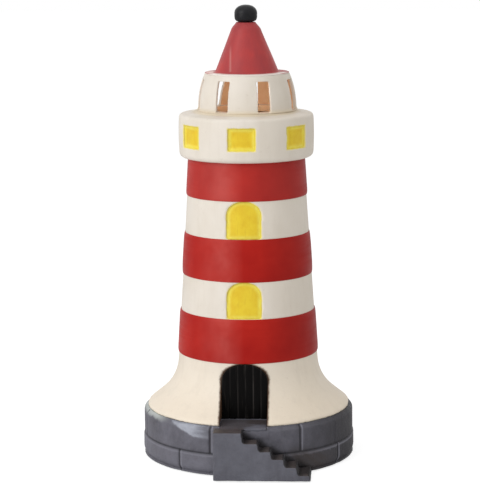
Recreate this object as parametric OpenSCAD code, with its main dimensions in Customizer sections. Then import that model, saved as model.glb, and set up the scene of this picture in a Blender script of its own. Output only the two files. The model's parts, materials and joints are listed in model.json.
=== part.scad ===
// Lighthouse night light: a white tower with red bands on a two-course stone base.
// Origin on the tower's axis at floor level, +Z up, the door and the stairs face -Y.
// The tower lifts off the base, and the bulb screws out of the holder that stands in it.

/* [Stone base] */
// Radius of the lower course of stone blocks
stone_r = 74; // [70:0.5:80]
// Height of the stone base above the floor
stone_h = 34; // [31:0.5:38]
// How far the upper course stands back from the lower one
course_step = 1.2; // [0.6:0.1:2]
// Height of the joint between the two courses
course_joint_z = 15.5; // [13:0.5:18]
// Bevel along the top edge of the stones
stone_bevel = 2; // [1:0.2:3]
// Wall of the base moulding
stone_wall = 3; // [2.4:0.1:4]
// Thickness of the deck that closes the base moulding
deck_t = 3; // [2:0.5:4]
// Radius of the hole in the deck for the holder and bulb
deck_hole_r = 44; // [40:1:48]
// Width of the joints between stones
groove_w = 1.2; // [0.6:0.1:2]
// Depth of the joints between stones
groove_d = 0.8; // [0.4:0.1:1.2]
// Where the joints of the upper course stand, turned from the door
upper_joints = [-18, 31.5, 83, 134, 185, 237, 288]; // [-180:1:360]
// Where the joints of the lower course stand, turned from the door
lower_joints = [-37, 11, 59, 110, 161, 212, 264]; // [-180:1:360]
// Height of the ring that locates the tower on the deck
spigot_h = 4; // [3:0.5:6]
// Wall of the ring that locates the tower
spigot_wall = 2.4; // [1.6:0.2:3]

/* [Stairs] */
// How far the front face of the stairs stands before the stone
stairs_proud = 10; // [6:0.5:16]
// Where the landing starts, to the left of the door's middle
landing_left = 19.5; // [17:0.5:24]
// Where the landing ends and the first riser starts
landing_right = -0.4; // [-4:0.2:4]
// Number of risers down to the floor
riser_count = 6; // [4:1:7]
// Height of the first riser below the landing
first_rise = 7.2; // [5:0.2:8]
// Going of the first tread, from the top of its riser to the next one
first_run = 10.6; // [8:0.2:12]
// Going of the other treads
step_run = 8.6; // [7:0.2:10]
// How far the foot of a riser stands in front of its top
riser_slope = 1; // [0.4:0.1:1.6]
// Wall of the stairs moulding
stairs_wall = 3.2; // [2.4:0.2:4]
// Depth of the landing's tongue in the deck
tongue_t = 1.6; // [1:0.2:2.2]
// Radius of the pegs that hold the stairs on the base
stairs_peg_r = 2.5; // [2:0.1:3.5]
// Height of the pegs above the floor
stairs_peg_z = 9; // [7:0.5:12]
// Sideways places of the pegs
stairs_peg_x = [-12, 24]; // [-14:1:30]

/* [Tower] */
// Height of the tower from the stone to the gallery, where the upper band takes what the others leave
tower_h = 173; // [162:0.5:185]
// Radius of the tower under the gallery
tower_top_r = 39.3; // [38.5:0.1:41]
// Radius of the tower where the skirt starts to flare
tower_foot_r = 48.1; // [46:0.1:50]
// Height of the flared skirt above the stone
flare_h = 35; // [30:0.5:37]
// How far the skirt's hollow curve turns outwards before it runs on straight
flare_turn = 51; // [46:1:56]
// How far the skirt's foot stands back from the bevel of the stone
skirt_back = 0.8; // [0.2:0.1:2]
// Height of the blunt edge at the skirt's foot
skirt_lip = 1.6; // [1:0.2:3]
// Wall of the tower moulding
tower_wall = 2.6; // [2:0.1:3.2]
// Radius of the tower's foot ring, which seats round the base's locating ring
seat_r = 58; // [54:0.5:60]
// Thickness of the tower's foot ring
seat_t = 2.4; // [1.8:0.2:3.2]

/* [Bands] */
// How far a red band stands proud of the white wall
band_t = 0.8; // [0.7:0.1:1.6]
// Rounding of a band's edges
band_round = 0.5; // [0.3:0.1:0.5]
// Gap between a band and the wall that it is slipped over
band_fit = 0.1; // [0.05:0.05:0.2]
// Height of the lower band's foot above the flared skirt
lower_band_rise = 3; // [1:0.5:5]
// Height of the lower band
lower_band_h = 30; // [26:0.5:33]
// Height of the white stretch between the lower and middle bands
lower_gap_h = 24.9; // [22:0.1:28]
// Height of the middle band
middle_band_h = 28.8; // [24:0.2:32]
// Height of the white stretch between the middle and upper bands
upper_gap_h = 25.4; // [22:0.1:28]

/* [Arched windows] */
// Width of an arched window
window_w = 23; // [15:0.5:26]
// Height of the arch at its top
window_rise = 9.5; // [6:0.5:11]
// How deep a pane lies below the tower's face
window_recess = 1.3; // [0.8:0.1:1.6]
// Width of the flange that holds a pane behind the wall
pane_flange = 1.4; // [1:0.2:1.8]
// Thickness of that flange
pane_flange_t = 1.4; // [1:0.1:2]

/* [Door] */
// Width of the doorway
door_w = 31.3; // [26:0.5:33]
// Height of the white wall between the doorway's arch and the lower band
door_head_gap = 0.4; // [0.2:0.1:3]
// Height of the doorway's arch
door_rise = 11; // [8:0.5:14]
// How far the door's face lies behind the tower's face at the top of the skirt
door_back = 0.2; // [0.1:0.1:1.5]
// Thickness of the door leaf
door_t = 2.6; // [2:0.1:3]
// Number of planks
plank_count = 6; // [4:1:8]
// Depth of the gaps between planks
plank_groove_d = 0.6; // [0.3:0.1:1]
// Width of the gaps between planks
plank_groove_w = 0.6; // [0.4:0.1:1]
// Thickness of the lining round the doorway
jamb_t = 2.4; // [1.8:0.1:3]
// Width of the stop behind the door leaf
door_stop = 1.6; // [1:0.1:2]

/* [Gallery] */
// Height of the gallery
gallery_h = 32; // [31:0.5:38]
// Largest radius of the gallery
gallery_r = 46.3; // [45.6:0.1:47]
// How much the gallery draws in below and above its widest line
gallery_bulge = 0.7; // [0:0.1:1]
// Rounding of the gallery's lower edge
gallery_low_round = 3.4; // [1.5:0.1:4]
// Rounding of the gallery's upper edge
gallery_top_round = 2.2; // [1:0.1:3]
// Fall of the gallery's top from the lantern room to its edge
gallery_fall = 2.2; // [1.5:0.1:3]
// Width of the cove where the gallery's top meets the lantern room
cove_w = 2.4; // [0.6:0.1:3]
// Height of that cove
cove_h = 1.3; // [0.2:0.1:1.6]
// Size of the bevel inside the gallery, under its top
inner_bevel = 0.8; // [0.5:0.1:1]
// Wall of the gallery moulding
gallery_wall = 2.8; // [2.2:0.1:3.2]
// Wall of the ring that locates the gallery in the tower
gallery_spigot_wall = 2.4; // [1.6:0.2:3]
// Depth of the ring that locates the gallery in the tower
gallery_spigot_h = 5; // [3:0.5:7]
// Number of windows round the gallery, and of slots above them
bay_count = 7; // [5:1:9]
// Turn of the first gallery window from the door
bay_turn = -0.9; // [-10:0.1:10]
// Width of a gallery window
bay_w = 18.4; // [12:0.2:20]
// Height of a gallery window
bay_h = 15; // [10:0.1:16]
// Height of the wall left above a gallery window
bay_head = 6.3; // [6:0.1:9]
// How deep a gallery pane lies below the gallery's face
bay_recess = 1.4; // [0.8:0.1:2]

/* [Lantern room] */
// Height of the lantern room
lantern_h = 24.7; // [21:0.1:26]
// Radius of the lantern room at its foot
lantern_foot_r = 33.6; // [33:0.1:34.6]
// Radius of the lantern room at its top
lantern_top_r = 28.9; // [28:0.1:30]
// How late the lantern room draws in towards its top, 1 is a straight wall
lantern_curve = 2.2; // [1:0.1:2.5]
// Wall of the lantern room
lantern_wall = 2.4; // [1.8:0.1:3]
// Depth of the ring that locates the lantern room in the gallery
lantern_spigot_h = 4; // [3:0.5:5]
// Radius of that ring
lantern_spigot_r = 27.4; // [26:0.1:28]
// Turn of the first slot from the door
slot_turn = 23.5; // [0:0.5:40]
// Width of a slot
slot_w = 9; // [6:0.5:11]
// Height of a slot's foot above the lantern room's foot
slot_foot = 0.6; // [0.6:0.1:3]
// Height of the wall left above a slot
slot_head = 3.6; // [1.6:0.1:4]

/* [Roof] */
// Thickness of the roof's flat rim
rim_t = 0.8; // [0.6:0.1:2.5]
// How far the rim stands back from the lantern room's top edge
rim_back = 0.2; // [0:0.1:1]
// Height of the cone
cone_h = 33.7; // [28:0.1:38]
// Radius of the cone on the rim
cone_foot_r = 21.6; // [19:0.2:23]
// Radius of the cone under its shoulder
cone_top_r = 10.9; // [9:0.1:12]
// Radius of the flat top under the ball
cone_neck_r = 6.9; // [6.5:0.1:7.6]
// Height of the rounded shoulder
shoulder_h = 5.2; // [2:0.2:6]
// How far the shoulder draws in over the lower half of its height
shoulder_in = 1.5; // [0.2:0.1:2]
// Wall of the roof moulding
roof_wall = 2.2; // [1.8:0.1:2.8]
// Depth of the ring that locates the roof in the lantern room
roof_spigot_h = 2; // [1.2:0.1:2.4]
// Radius of the ball
ball_r = 7.9; // [7.2:0.1:9]
// Height of the ball
ball_h = 11.8; // [10:0.1:16]
// Squareness of the ball's lower half, 2 is round
ball_low_square = 4.5; // [2:0.1:5]
// Squareness of the ball's upper half, 2 is round
ball_high_square = 2.5; // [2:0.1:3]
// Radius of the peg under the ball
ball_peg_r = 2.4; // [1.8:0.1:3]
// Length of the peg under the ball
ball_peg_h = 9; // [6:0.5:12]

/* [Base plate] */
// Thickness of the foam pad that the lamp stands on
pad_t = 1.5; // [1:0.1:2.5]
// Radius of the foam pad
pad_r = 58; // [50:1:59]
// Thickness of the base plate
plate_t = 2.5; // [2:0.1:4]
// Height of the stone's lower edge above the floor
floor_gap = 0.8; // [0.4:0.1:1.2]
// Distance of the plate screws from the inside of the stone wall
screw_inset = 6.8; // [5.5:0.1:9]
// Radius of a plate screw's shank
screw_r = 1.5; // [1.2:0.1:1.8]
// Radius of a plate screw's head
screw_head_r = 2.9; // [2.5:0.1:3.5]
// Height of a screw's head
screw_head_h = 1.4; // [1:0.1:1.8]
// Wall left under a blind screw hole
blind_floor = 0.6; // [0.4:0.1:1]
// Length of a plate screw
screw_l = 12; // [9:0.5:15]
// Radius of the bosses that the screws bite in
boss_r = 4.4; // [3.6:0.1:5]
// Turns of the plate screws from the door
screw_turns = [45, 135, 225, 315]; // [0:5:355]

/* [Cord inlet] */
// Free height between the base plate and the bush's flange
bush_rise = 0.6; // [0.3:0.1:2]
// Radius of the bore for the cord
inlet_bore_r = 3.3; // [2.5:0.1:3.8]
// Radius of the bush's neck in the stone wall
bush_neck_r = 4.8; // [4.4:0.1:5.2]
// Radius of the bush's flanges
bush_flange_r = 6.4; // [6:0.1:6.6]
// Thickness of the bush's flanges
bush_flange_t = 1.6; // [1:0.1:2.5]
// Depth of the flat that the outer flange lies in
bush_flat = 0.8; // [0.6:0.1:1.2]

/* [Holder] */
// Height of the bridge's top above the base plate
bridge_h = 14; // [13:0.5:18]
// Width of the bridge strip
bridge_w = 16; // [14:0.5:20]
// Thickness of the bridge strip
bridge_t = 1.5; // [1:0.1:2]
// Half length of the bridge's raised part
bridge_span = 20; // [18:0.5:24]
// Length of each of the bridge's feet
bridge_foot = 14; // [12:0.5:16]
// Radius of the plate's pads under the bridge's feet
bridge_pad_r = 6; // [5:0.5:7]
// Height of the plate's pads under the bridge's feet
bridge_pad_h = 4; // [3:0.5:5]
// Radius of the hollow nipple
nipple_r = 5; // [4.5:0.1:5.5]
// Radius of the way through the nipple
nipple_bore_r = 3.4; // [3.2:0.1:3.8]
// Length of the nipple
nipple_l = 14; // [13:0.5:16]
// How far the nipple reaches below the bridge
nipple_below = 5; // [4:0.5:6]
// Distance across the flats of the nipple's nut
nut_af = 14; // [13:0.5:16]
// Thickness of the nipple's nut
nut_t = 3; // [2:0.1:4]
// Radius of the holder
holder_r = 14; // [13:0.2:16]
// Height of the holder's lower part
holder_low_h = 19; // [17:0.5:22]
// Height of the holder's upper part
holder_up_h = 23; // [20:0.5:26]
// Radius of the holder's foot on the bridge
holder_foot_r = 9.5; // [8:0.5:12]
// Height of the holder's two bevelled ends
holder_cone_h = 6; // [4:0.5:8]
// Thickness of the holder's floor round the nipple
holder_floor_t = 3.5; // [2.5:0.5:5]
// Wall of the holder
holder_wall = 2.2; // [1.6:0.1:2.6]
// Thickness of the ceramic insert that carries the contacts
insert_t = 4; // [3.5:0.1:5]
// Thickness of the brass screw shell
shell_t = 0.4; // [0.3:0.1:0.6]
// Width of the centre contact's strip
contact_w = 4; // [3:0.5:5]
// Thickness of the contact strip
contact_t = 0.5; // [0.4:0.1:0.7]
// Gap between the contact strip's root and the screw shell
contact_gap = 0.45; // [0.3:0.05:1]
// Length of the contact strip's flat root
contact_root = 2.3; // [1.5:0.1:3]
// Half length of the contact's flat tip
contact_tip = 2.4; // [1.8:0.1:3]
// Height of the contact's tip above the insert
contact_rise = 2.2; // [1.8:0.1:3]
// Travel of the centre contact
contact_travel = 1; // [0.6:0.1:1.2]

/* [Bulb] */
// Radius of the bulb's screw cap over its thread crests
cap_r = 6.95; // [6.8:0.05:7]
// Height of the screw cap
cap_h = 19; // [17:0.5:21]
// Pitch of the thread
cap_pitch = 2.822; // [2.5:0.001:3.1]
// Depth of the thread's waves
cap_wave = 0.45; // [0.3:0.05:0.6]
// Thickness of the cap's sheet
cap_t = 0.3; // [0.2:0.05:0.4]
// Radius of the contact eyelet under the cap
eyelet_r = 2.4; // [2:0.1:3]
// Height of the eyelet
eyelet_h = 1.4; // [1:0.1:2]
// Height of the glass insulator between eyelet and cap
insulator_h = 2.6; // [2:0.1:3.5]
// Free space round the cap in the screw shell
cap_play = 0.3; // [0.2:0.05:0.4]
// Radius of the glass
glass_r = 17.5; // [15:0.5:20]
// Height of the glass above the cap
glass_h = 72; // [60:1:76]
// Wall of the glass
glass_t = 0.8; // [0.6:0.1:1]
// How far the glass reaches into the cap
glass_in_cap = 8; // [5:0.5:11]
// Share of the glass's height at which it is widest
glass_belly = 0.4; // [0.3:0.05:0.5]
// Fullness of the glass above its widest line, lower is fuller
glass_full = 0.8; // [0.6:0.05:1]
// Number of light strips on the stem
strip_count = 4; // [2:1:6]
// Height of the strips' feet above the cap
strip_low = 14; // [10:0.5:18]
// Height of a light strip
strip_h = 34; // [26:1:38]
// Radius of a light strip
strip_r = 0.8; // [0.5:0.1:1.2]
// Distance of the strips from the stem
strip_ring_r = 5; // [4:0.5:6.5]
// Radius of the wires that hold the strips
strip_wire_r = 0.4; // [0.3:0.05:0.5]
// Height of the stem's foot in the glass
stem_foot_h = 3; // [2:0.5:5]
// Radius of the stem
stem_r = 2; // [1.5:0.1:3]

/* [Wiring] */
// Radius of a lead over its insulation
lead_r = 1.1; // [0.9:0.05:1.2]
// Height of the leads above the base plate
lead_z = 4; // [3.5:0.5:5]
// Bend radius of the leads
lead_bend = 6; // [5:0.5:8]
// Gap between the leads inside the nipple
lead_gap = 0.4; // [0.2:0.05:0.8]
// Distance from the axis to the terminal block's near face
block_near = 30; // [26:1:36]
// Length of the terminal block along the leads
block_l = 13; // [11:0.5:16]
// Width of the terminal block
block_w = 19; // [18:0.5:24]
// Height of the terminal block
block_h = 11; // [10:0.5:14]
// Depth of the block screw's head in the block
block_head_depth = 3; // [2:0.5:5]
// Half distance between the terminals
terminal_apart = 4.6; // [4.5:0.1:5.5]
// Radius of the ways through the terminals
terminal_bore_r = 1.7; // [1.4:0.1:1.9]
// Radius of a terminal's screw
terminal_screw_r = 1.4; // [1.2:0.1:1.7]

/* [Fits] */
// Gap between round faces of parts that seat in each other
seat_gap = 0.3; // [0.2:0.05:0.4]
// Gap round pieces that are pushed into place
push_gap = 0.1; // [0.05:0.01:0.2]

/* [Hidden] */
$fn = 128;
SMALL_FN = 48;
// Cutters run this far past the face that they cut
OVER = 1;
// Sides of a lead and rings in its bend and on its straight runs
LEAD_SIDES = 8;
LEAD_BEND_RINGS = 8;
LEAD_RUN_RINGS = 8;
ARC_STEPS = 6;
WALL_STEPS = 12;
BALL_STEPS = 30;
WAVE_STEPS = 6;
GLASS_STEPS = 24;

// Levels, from the floor up
z_plate = pad_t;
z_plate_top = z_plate + plate_t;
z_deck = stone_h;
z_flare = z_deck + flare_h;
z_lower = z_flare + lower_band_rise;
z_lower_top = z_lower + lower_band_h;
z_middle = z_lower_top + lower_gap_h;
z_middle_top = z_middle + middle_band_h;
z_upper = z_middle_top + upper_gap_h;
z_gallery = z_deck + tower_h;
z_lantern = z_gallery + gallery_h;
z_roof = z_lantern + lantern_h;
z_cone = z_roof + rim_t;
z_ball = z_cone + cone_h;
z_bridge = z_plate_top + bridge_h;
z_insert = z_bridge + holder_low_h - insert_t / 2;
z_insert_top = z_insert + insert_t;
z_holder_split = z_bridge + holder_low_h;
z_holder_top = z_holder_split + holder_up_h;
z_eyelet = z_insert_top + contact_rise + push_gap;

// Sizes that follow from those above
upper_stone_r = stone_r - course_step;
cavity_r = upper_stone_r - stone_wall;
plate_r = cavity_r - seat_gap;
screw_ring_r = cavity_r - screw_inset;
inlet_z = z_plate_top + bush_flange_r + bush_rise;
skirt_r = upper_stone_r - stone_bevel - skirt_back;
stairs_front = stone_r + stairs_proud;
door_y = tower_foot_r - door_back;
door_h = z_lower - z_deck - door_head_gap;
spigot_r = seat_r - seat_gap;
doorway_clear = door_w + 2 * seat_gap;
taper = (tower_foot_r - tower_top_r) / (z_gallery - z_flare);
rise = (stone_h - first_rise) / (riser_count - 1);
stairs_right = landing_right + first_run + (riser_count - 2) * step_run + riser_slope;
shell_inner_r = cap_r + cap_play;
shell_outer_r = shell_inner_r + shell_t;
contact_reach = sqrt(pow(shell_inner_r, 2) - pow(contact_w / 2, 2)) - contact_gap;
glass_neck_r = cap_r - cap_wave - cap_t - push_gap;
lead_apart = lead_r + lead_gap / 2;
gallery_spigot_r = tower_top_r - tower_wall - seat_gap;
well_r = gallery_spigot_r - gallery_spigot_wall;
bay_z = gallery_h - gallery_fall - bay_head - bay_h / 2;
bridge_screw_x = bridge_span + bridge_foot / 2;
insert_seat_r = holder_r - holder_wall / 2;
z_insulator = z_eyelet + eyelet_h;
z_cap = z_insulator + insulator_h;
z_glass = z_cap + cap_h;
strip_z = z_glass + strip_low;
terminal_rows = [block_near + block_l / 4, block_near + block_l * 3 / 4];
lead_floor = z_plate_top + lead_z;
bay_step = 360 / bay_count;

// Points of a round corner, from one angle to another
function corner(x, z, r, from, to) =
    [for (i = [0 : ARC_STEPS]) let (a = from + (to - from) * i / ARC_STEPS) [x + r * cos(a), z + r * sin(a)]];

// Radius of the white tower's face at a height above the skirt
function tower_r(z) = tower_foot_r - (z - z_flare) * taper;

// The tower's line at a depth below its face, from the gallery down to the skirt's foot
function tower_line(depth) =
    let (
        spread = skirt_r - tower_foot_r,
        drop = flare_h - skirt_lip,
        flare_r = (drop * sin(flare_turn) - spread * cos(flare_turn)) / (1 - cos(flare_turn)),
        cx = tower_foot_r + flare_r,
        r = flare_r + depth,
        last = [cx - r * cos(flare_turn), z_flare - r * sin(flare_turn)],
        z_end = depth == 0 ? z_deck + skirt_lip : z_deck
    )
    concat(
        [[tower_top_r - depth, z_gallery]],
        corner(cx, z_flare, r, 180, 180 + flare_turn),
        [[last[0] + (last[1] - z_end) * tan(flare_turn), z_end]]);

function reversed(list) = [for (i = [len(list) - 1 : -1 : 0]) list[i]];

// Outline of an opening with a flat foot and an arched head
function arch(w, h, rise) =
    concat(
        [[-w / 2, 0], [w / 2, 0]],
        [for (i = [0 : 2 * ARC_STEPS])
            let (a = 90 * i / ARC_STEPS)
            [w / 2 * cos(a), h - rise + rise * sin(a)]]);

// A prism of an outline drawn in X and Z, from one distance in front of the axis to another
module prism(outline, near, far, foot) {
    translate([0, -near, foot])
        rotate([90, 0, 0])
            linear_extrude(far - near)
                polygon(outline);
}

module ring(outer, inner, foot, h) {
    translate([0, 0, foot])
        difference() {
            cylinder(r = outer, h = h);
            translate([0, 0, -OVER])
                cylinder(r = inner, h = h + 2 * OVER);
        }
}

// A solid cylinder turned to face the door's side, at an angle from the door
module spoke(angle, r, near, far, z) {
    rotate([0, 0, angle])
        translate([0, -near, z])
            rotate([90, 0, 0])
                cylinder(r = r, h = far - near, $fn = SMALL_FN);
}

module finial_ball() {
    color("#26262a") {
        middle = z_ball + ball_h / 2;
        rotate_extrude()
            polygon(concat(
                [[0, z_ball]],
                [for (i = [0 : BALL_STEPS])
                    let (
                        a = -90 + 180 * i / BALL_STEPS,
                        square = a < 0 ? ball_low_square : ball_high_square,
                        c = pow(abs(cos(a)), 2 / square),
                        s = pow(abs(sin(a)), 2 / square)
                    )
                    [i == BALL_STEPS ? 0 : ball_r * c, middle + sign(a) * ball_h / 2 * s]]));
        translate([0, 0, z_ball - ball_peg_h])
            cylinder(r = ball_peg_r, h = ball_peg_h + OVER, $fn = SMALL_FN);
    }
}

module roof() {
    rim_r = lantern_top_r - rim_back;
    spigot_out = lantern_top_r - lantern_wall - seat_gap;
    shoulder_z = z_ball - shoulder_h;
    inside_top = shoulder_z - roof_wall;
    color("#b0302c")
        rotate_extrude()
            polygon(concat(
                [[spigot_out, z_roof - roof_spigot_h], [spigot_out, z_roof], [rim_r, z_roof]],
                [[rim_r, z_cone - rim_t / 3], [rim_r - rim_t / 3, z_cone], [cone_foot_r, z_cone]],
                [[cone_top_r, shoulder_z], [cone_top_r - shoulder_in, shoulder_z + shoulder_h / 2]],
                [[cone_neck_r, z_ball], [ball_peg_r + push_gap, z_ball]],
                [[ball_peg_r + push_gap, inside_top], [cone_top_r - roof_wall, inside_top]],
                [[cone_foot_r - roof_wall, z_roof], [cone_foot_r - roof_wall, z_roof - roof_spigot_h]]));
}

// Radius of the lantern room's face at a share of its height
function lantern_r(t) = lantern_foot_r - (lantern_foot_r - lantern_top_r) * pow(t, lantern_curve);

module lantern_room() {
    steps = [for (i = [0 : WALL_STEPS]) i / WALL_STEPS];
    outer = [for (t = steps) [lantern_r(t), z_lantern + t * lantern_h]];
    inner = [for (t = reversed(steps)) [lantern_r(t) - lantern_wall, z_lantern + t * lantern_h]];
    spigot_in = lantern_spigot_r - lantern_wall;
    spigot_z = z_lantern - lantern_spigot_h;
    ledge_z = z_lantern + slot_foot;
    color("#ece6da")
        difference() {
            rotate_extrude()
                polygon(concat(
                    [[spigot_in, spigot_z], [lantern_spigot_r, spigot_z], [lantern_spigot_r, z_lantern]],
                    outer,
                    [for (p = inner) if (p[1] > ledge_z) p],
                    [[lantern_r(0) - lantern_wall, ledge_z], [spigot_in, ledge_z]]));
            for (i = [0 : bay_count - 1])
                rotate([0, 0, slot_turn + i * bay_step])
                    translate([-slot_w / 2, -lantern_foot_r - OVER, ledge_z])
                        cube([slot_w, lantern_foot_r, lantern_h - slot_foot - slot_head]);
        }
}

// The gallery's line at a height above its underside, on the wall that holds the windows
function gallery_face(z) =
    gallery_r - gallery_bulge * pow(abs(z - gallery_h / 2) / (gallery_h / 2), 2);

module gallery() {
    low = gallery_low_round;
    high = gallery_h - gallery_fall;
    rim_z = high - gallery_top_round;
    foot_r = gallery_face(low) - low;
    head_r = gallery_face(rim_z) - gallery_top_round;
    inner_r = gallery_face(low) - gallery_wall;
    ceiling = high - gallery_wall;
    wall = [for (i = [1 : WALL_STEPS - 1])
        let (z = low + (rim_z - low) * i / WALL_STEPS)
        [gallery_face(z), z]];
    hole_r = lantern_spigot_r + seat_gap;
    color("#ece6da")
        difference() {
            translate([0, 0, z_gallery])
                rotate_extrude()
                    polygon(concat(
                        [[well_r, -gallery_spigot_h], [gallery_spigot_r, -gallery_spigot_h]],
                        [[gallery_spigot_r, 0]],
                        corner(foot_r, low, low, -90, 0),
                        wall,
                        corner(head_r, rim_z, gallery_top_round, 0, 90),
                        [[lantern_foot_r + cove_w, gallery_h - cove_h]],
                        [[lantern_foot_r + seat_gap, gallery_h], [hole_r, gallery_h]],
                        [[hole_r, gallery_h - gallery_wall], [lantern_foot_r, gallery_h - gallery_wall]],
                        [[inner_r - inner_bevel, ceiling - inner_bevel]],
                        [[inner_r, ceiling - 2 * inner_bevel]],
                        [[inner_r, gallery_wall], [well_r, gallery_wall]]));
            for (i = [0 : bay_count - 1])
                rotate([0, 0, bay_turn + i * bay_step])
                    translate([-bay_w / 2, -gallery_r - OVER, z_gallery + bay_z - bay_h / 2])
                        cube([bay_w, gallery_r - well_r, bay_h]);
        }
}

// One yellow pane with the flange that holds it behind the gallery's wall
module gallery_pane(i) {
    front_r = gallery_face(bay_z) - bay_recess;
    flange_r = gallery_face(gallery_low_round) - gallery_wall - push_gap;
    back_r = flange_r - pane_flange_t;
    w = bay_w - 2 * push_gap;
    h = bay_h - 2 * push_gap;
    color("#e8cc3a")
        rotate([0, 0, bay_turn + (i - 1) * bay_step]) {
            ring_piece(front_r, back_r, w, h);
            ring_piece(flange_r, back_r, w + 2 * pane_flange, h + 2 * pane_flange);
        }
}

// The part of a ring that lies in front of the axis, at the height of a gallery window
module ring_piece(front_r, back_r, w, h) {
    foot = z_gallery + bay_z - h / 2;
    intersection() {
        ring(front_r, back_r, foot, h);
        translate([-w / 2, -gallery_r, foot])
            cube([w, gallery_r - well_r, h]);
    }
}

// A red sleeve on the tower's taper, with rounded edges
module band(foot, head) {
    b = band_round;
    out_foot = tower_r(foot + b) + band_t - b;
    out_head = tower_r(head - b) + band_t - b;
    color("#b0302c")
        rotate_extrude()
            polygon(concat(
                [[tower_r(head) + band_fit, head], [tower_r(foot) + band_fit, foot]],
                corner(out_foot, foot + b, b, -90, 0),
                corner(out_head, head - b, b, 0, 90)));
}

module band_upper() {
    band(z_upper, z_gallery);
}

module band_middle() {
    band(z_middle, z_middle_top);
}

module band_lower() {
    band(z_lower, z_lower_top);
}

module tower_shell() {
    outer = tower_line(0);
    inner = tower_line(tower_wall);
    in_foot = inner[len(inner) - 1];
    color("#ece6da")
        difference() {
            union() {
                rotate_extrude()
                    polygon(concat(outer, [[skirt_r, z_deck], in_foot], reversed(inner)));
                ring(in_foot[0] + tower_wall / 2, seat_r, z_deck, seat_t);
                intersection() {
                    prism(arch(door_w + 2 * jamb_t, door_h + jamb_t, door_rise + jamb_t),
                        door_y - door_t - door_stop, skirt_r + OVER, z_deck);
                    rotate_extrude()
                        polygon(concat(outer, [[skirt_r, z_deck], [0, z_deck], [0, z_gallery]]));
                }
            }
            prism(arch(door_w, door_h, door_rise), door_y - door_t, skirt_r + OVER, z_deck - OVER / 100);
            prism(arch(door_w - 2 * door_stop, door_h - door_stop, door_rise - door_stop),
                door_y - 2 * door_t, skirt_r + OVER, z_deck - OVER / 100);
            window_hole(z_lower_top, lower_gap_h);
            window_hole(z_middle_top, upper_gap_h);
        }
}

module window_hole(foot, h) {
    outline = arch(window_w, h - 2 * push_gap, window_rise);
    prism(outline, tower_top_r / 2, tower_foot_r + OVER, foot + push_gap);
}

// The part of the tower's wall between two depths below its face
module wall_layer(shallow, deep, foot, h) {
    rotate_extrude()
        polygon([[tower_r(foot) - deep, foot], [tower_r(foot) - shallow, foot],
            [tower_r(foot + h) - shallow, foot + h], [tower_r(foot + h) - deep, foot + h]]);
}

// A yellow arched pane, with a flange behind the tower's wall
module window_pane(foot, h) {
    w = window_w - 2 * push_gap;
    edge = 2 * push_gap;
    back = tower_wall + push_gap;
    color("#e8cc3a") {
        intersection() {
            prism(arch(w, h - 2 * edge, window_rise), tower_top_r / 2, tower_foot_r + OVER, foot + edge);
            wall_layer(window_recess, back + pane_flange_t / 2, foot - OVER, h + 2 * OVER);
        }
        intersection() {
            prism(arch(w + 2 * pane_flange, h - 2 * edge + 2 * pane_flange, window_rise + pane_flange),
                tower_top_r / 2, tower_foot_r + OVER, foot + edge - pane_flange);
            wall_layer(back, back + pane_flange_t, foot - pane_flange - OVER, h + 2 * pane_flange + 2 * OVER);
        }
    }
}

module window_upper() {
    window_pane(z_middle_top, upper_gap_h);
}

module window_lower() {
    window_pane(z_lower_top, lower_gap_h);
}

module door_leaf() {
    w = door_w - 2 * push_gap;
    outline = arch(w, door_h - 3 * push_gap, door_rise);
    pitch = w / plank_count;
    color("#1c1a19")
        difference() {
            prism(outline, door_y - door_t + push_gap, door_y, z_deck + 2 * push_gap);
            for (i = [1 : plank_count - 1])
                translate([-w / 2 + i * pitch - plank_groove_w / 2, -door_y - OVER, z_deck])
                    cube([plank_groove_w, OVER + plank_groove_d, door_h]);
        }
}

// A gap between two stones of a course
module stone_joint(angle, face_r, foot, h) {
    rotate([0, 0, angle])
        translate([-groove_w / 2, -face_r - OVER, foot])
            cube([groove_w, OVER + groove_d, h]);
}

module stone_base() {
    half = groove_w / 2;
    notch_w = doorway_clear + 2 * jamb_t;
    notch_y = door_y - door_t - door_stop - seat_gap;
    color("#6c6a74")
        difference() {
            union() {
                rotate_extrude()
                    polygon([[stone_r, floor_gap], [stone_r, course_joint_z - half],
                        [upper_stone_r - groove_d, course_joint_z - half],
                        [upper_stone_r - groove_d, course_joint_z + half],
                        [upper_stone_r, course_joint_z + half], [upper_stone_r, z_deck - stone_bevel],
                        [upper_stone_r - stone_bevel, z_deck], [deck_hole_r, z_deck],
                        [deck_hole_r, z_deck - deck_t], [cavity_r, z_deck - deck_t], [cavity_r, floor_gap]]);
                ring(spigot_r, spigot_r - spigot_wall, z_deck - deck_t, deck_t + spigot_h);
                for (a = screw_turns)
                    rotate([0, 0, a])
                        translate([0, -screw_ring_r, z_plate_top])
                            cylinder(r = boss_r, h = z_deck - deck_t - z_plate_top + OVER, $fn = SMALL_FN);
            }
            for (a = upper_joints)
                stone_joint(a, upper_stone_r, course_joint_z, stone_h);
            for (a = lower_joints)
                stone_joint(a, stone_r, -OVER, course_joint_z + OVER);
            for (a = screw_turns)
                rotate([0, 0, a])
                    translate([0, -screw_ring_r, z_plate_top - OVER])
                        cylinder(r = screw_r + push_gap / 2, h = screw_l + OVER, $fn = SMALL_FN);
            translate([-notch_w / 2, -stone_r, z_deck])
                cube([notch_w, stone_r - notch_y, spigot_h + OVER]);
            translate([-door_w / 2, -stone_r - OVER, z_deck - tongue_t])
                cube([door_w, stone_r - door_y + OVER, tongue_t + OVER]);
            for (x = stairs_peg_x)
                translate([x, -stone_r, stairs_peg_z])
                    rotate([-90, 0, 0])
                        cylinder(r = stairs_peg_r + push_gap, h = stone_r / 2, $fn = SMALL_FN);
            spoke(180, bush_neck_r + push_gap, cavity_r / 2, stone_r + OVER, inlet_z);
            spoke(180, bush_flange_r + seat_gap, stone_r - bush_flat, stone_r + OVER, inlet_z);
        }
}

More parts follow.
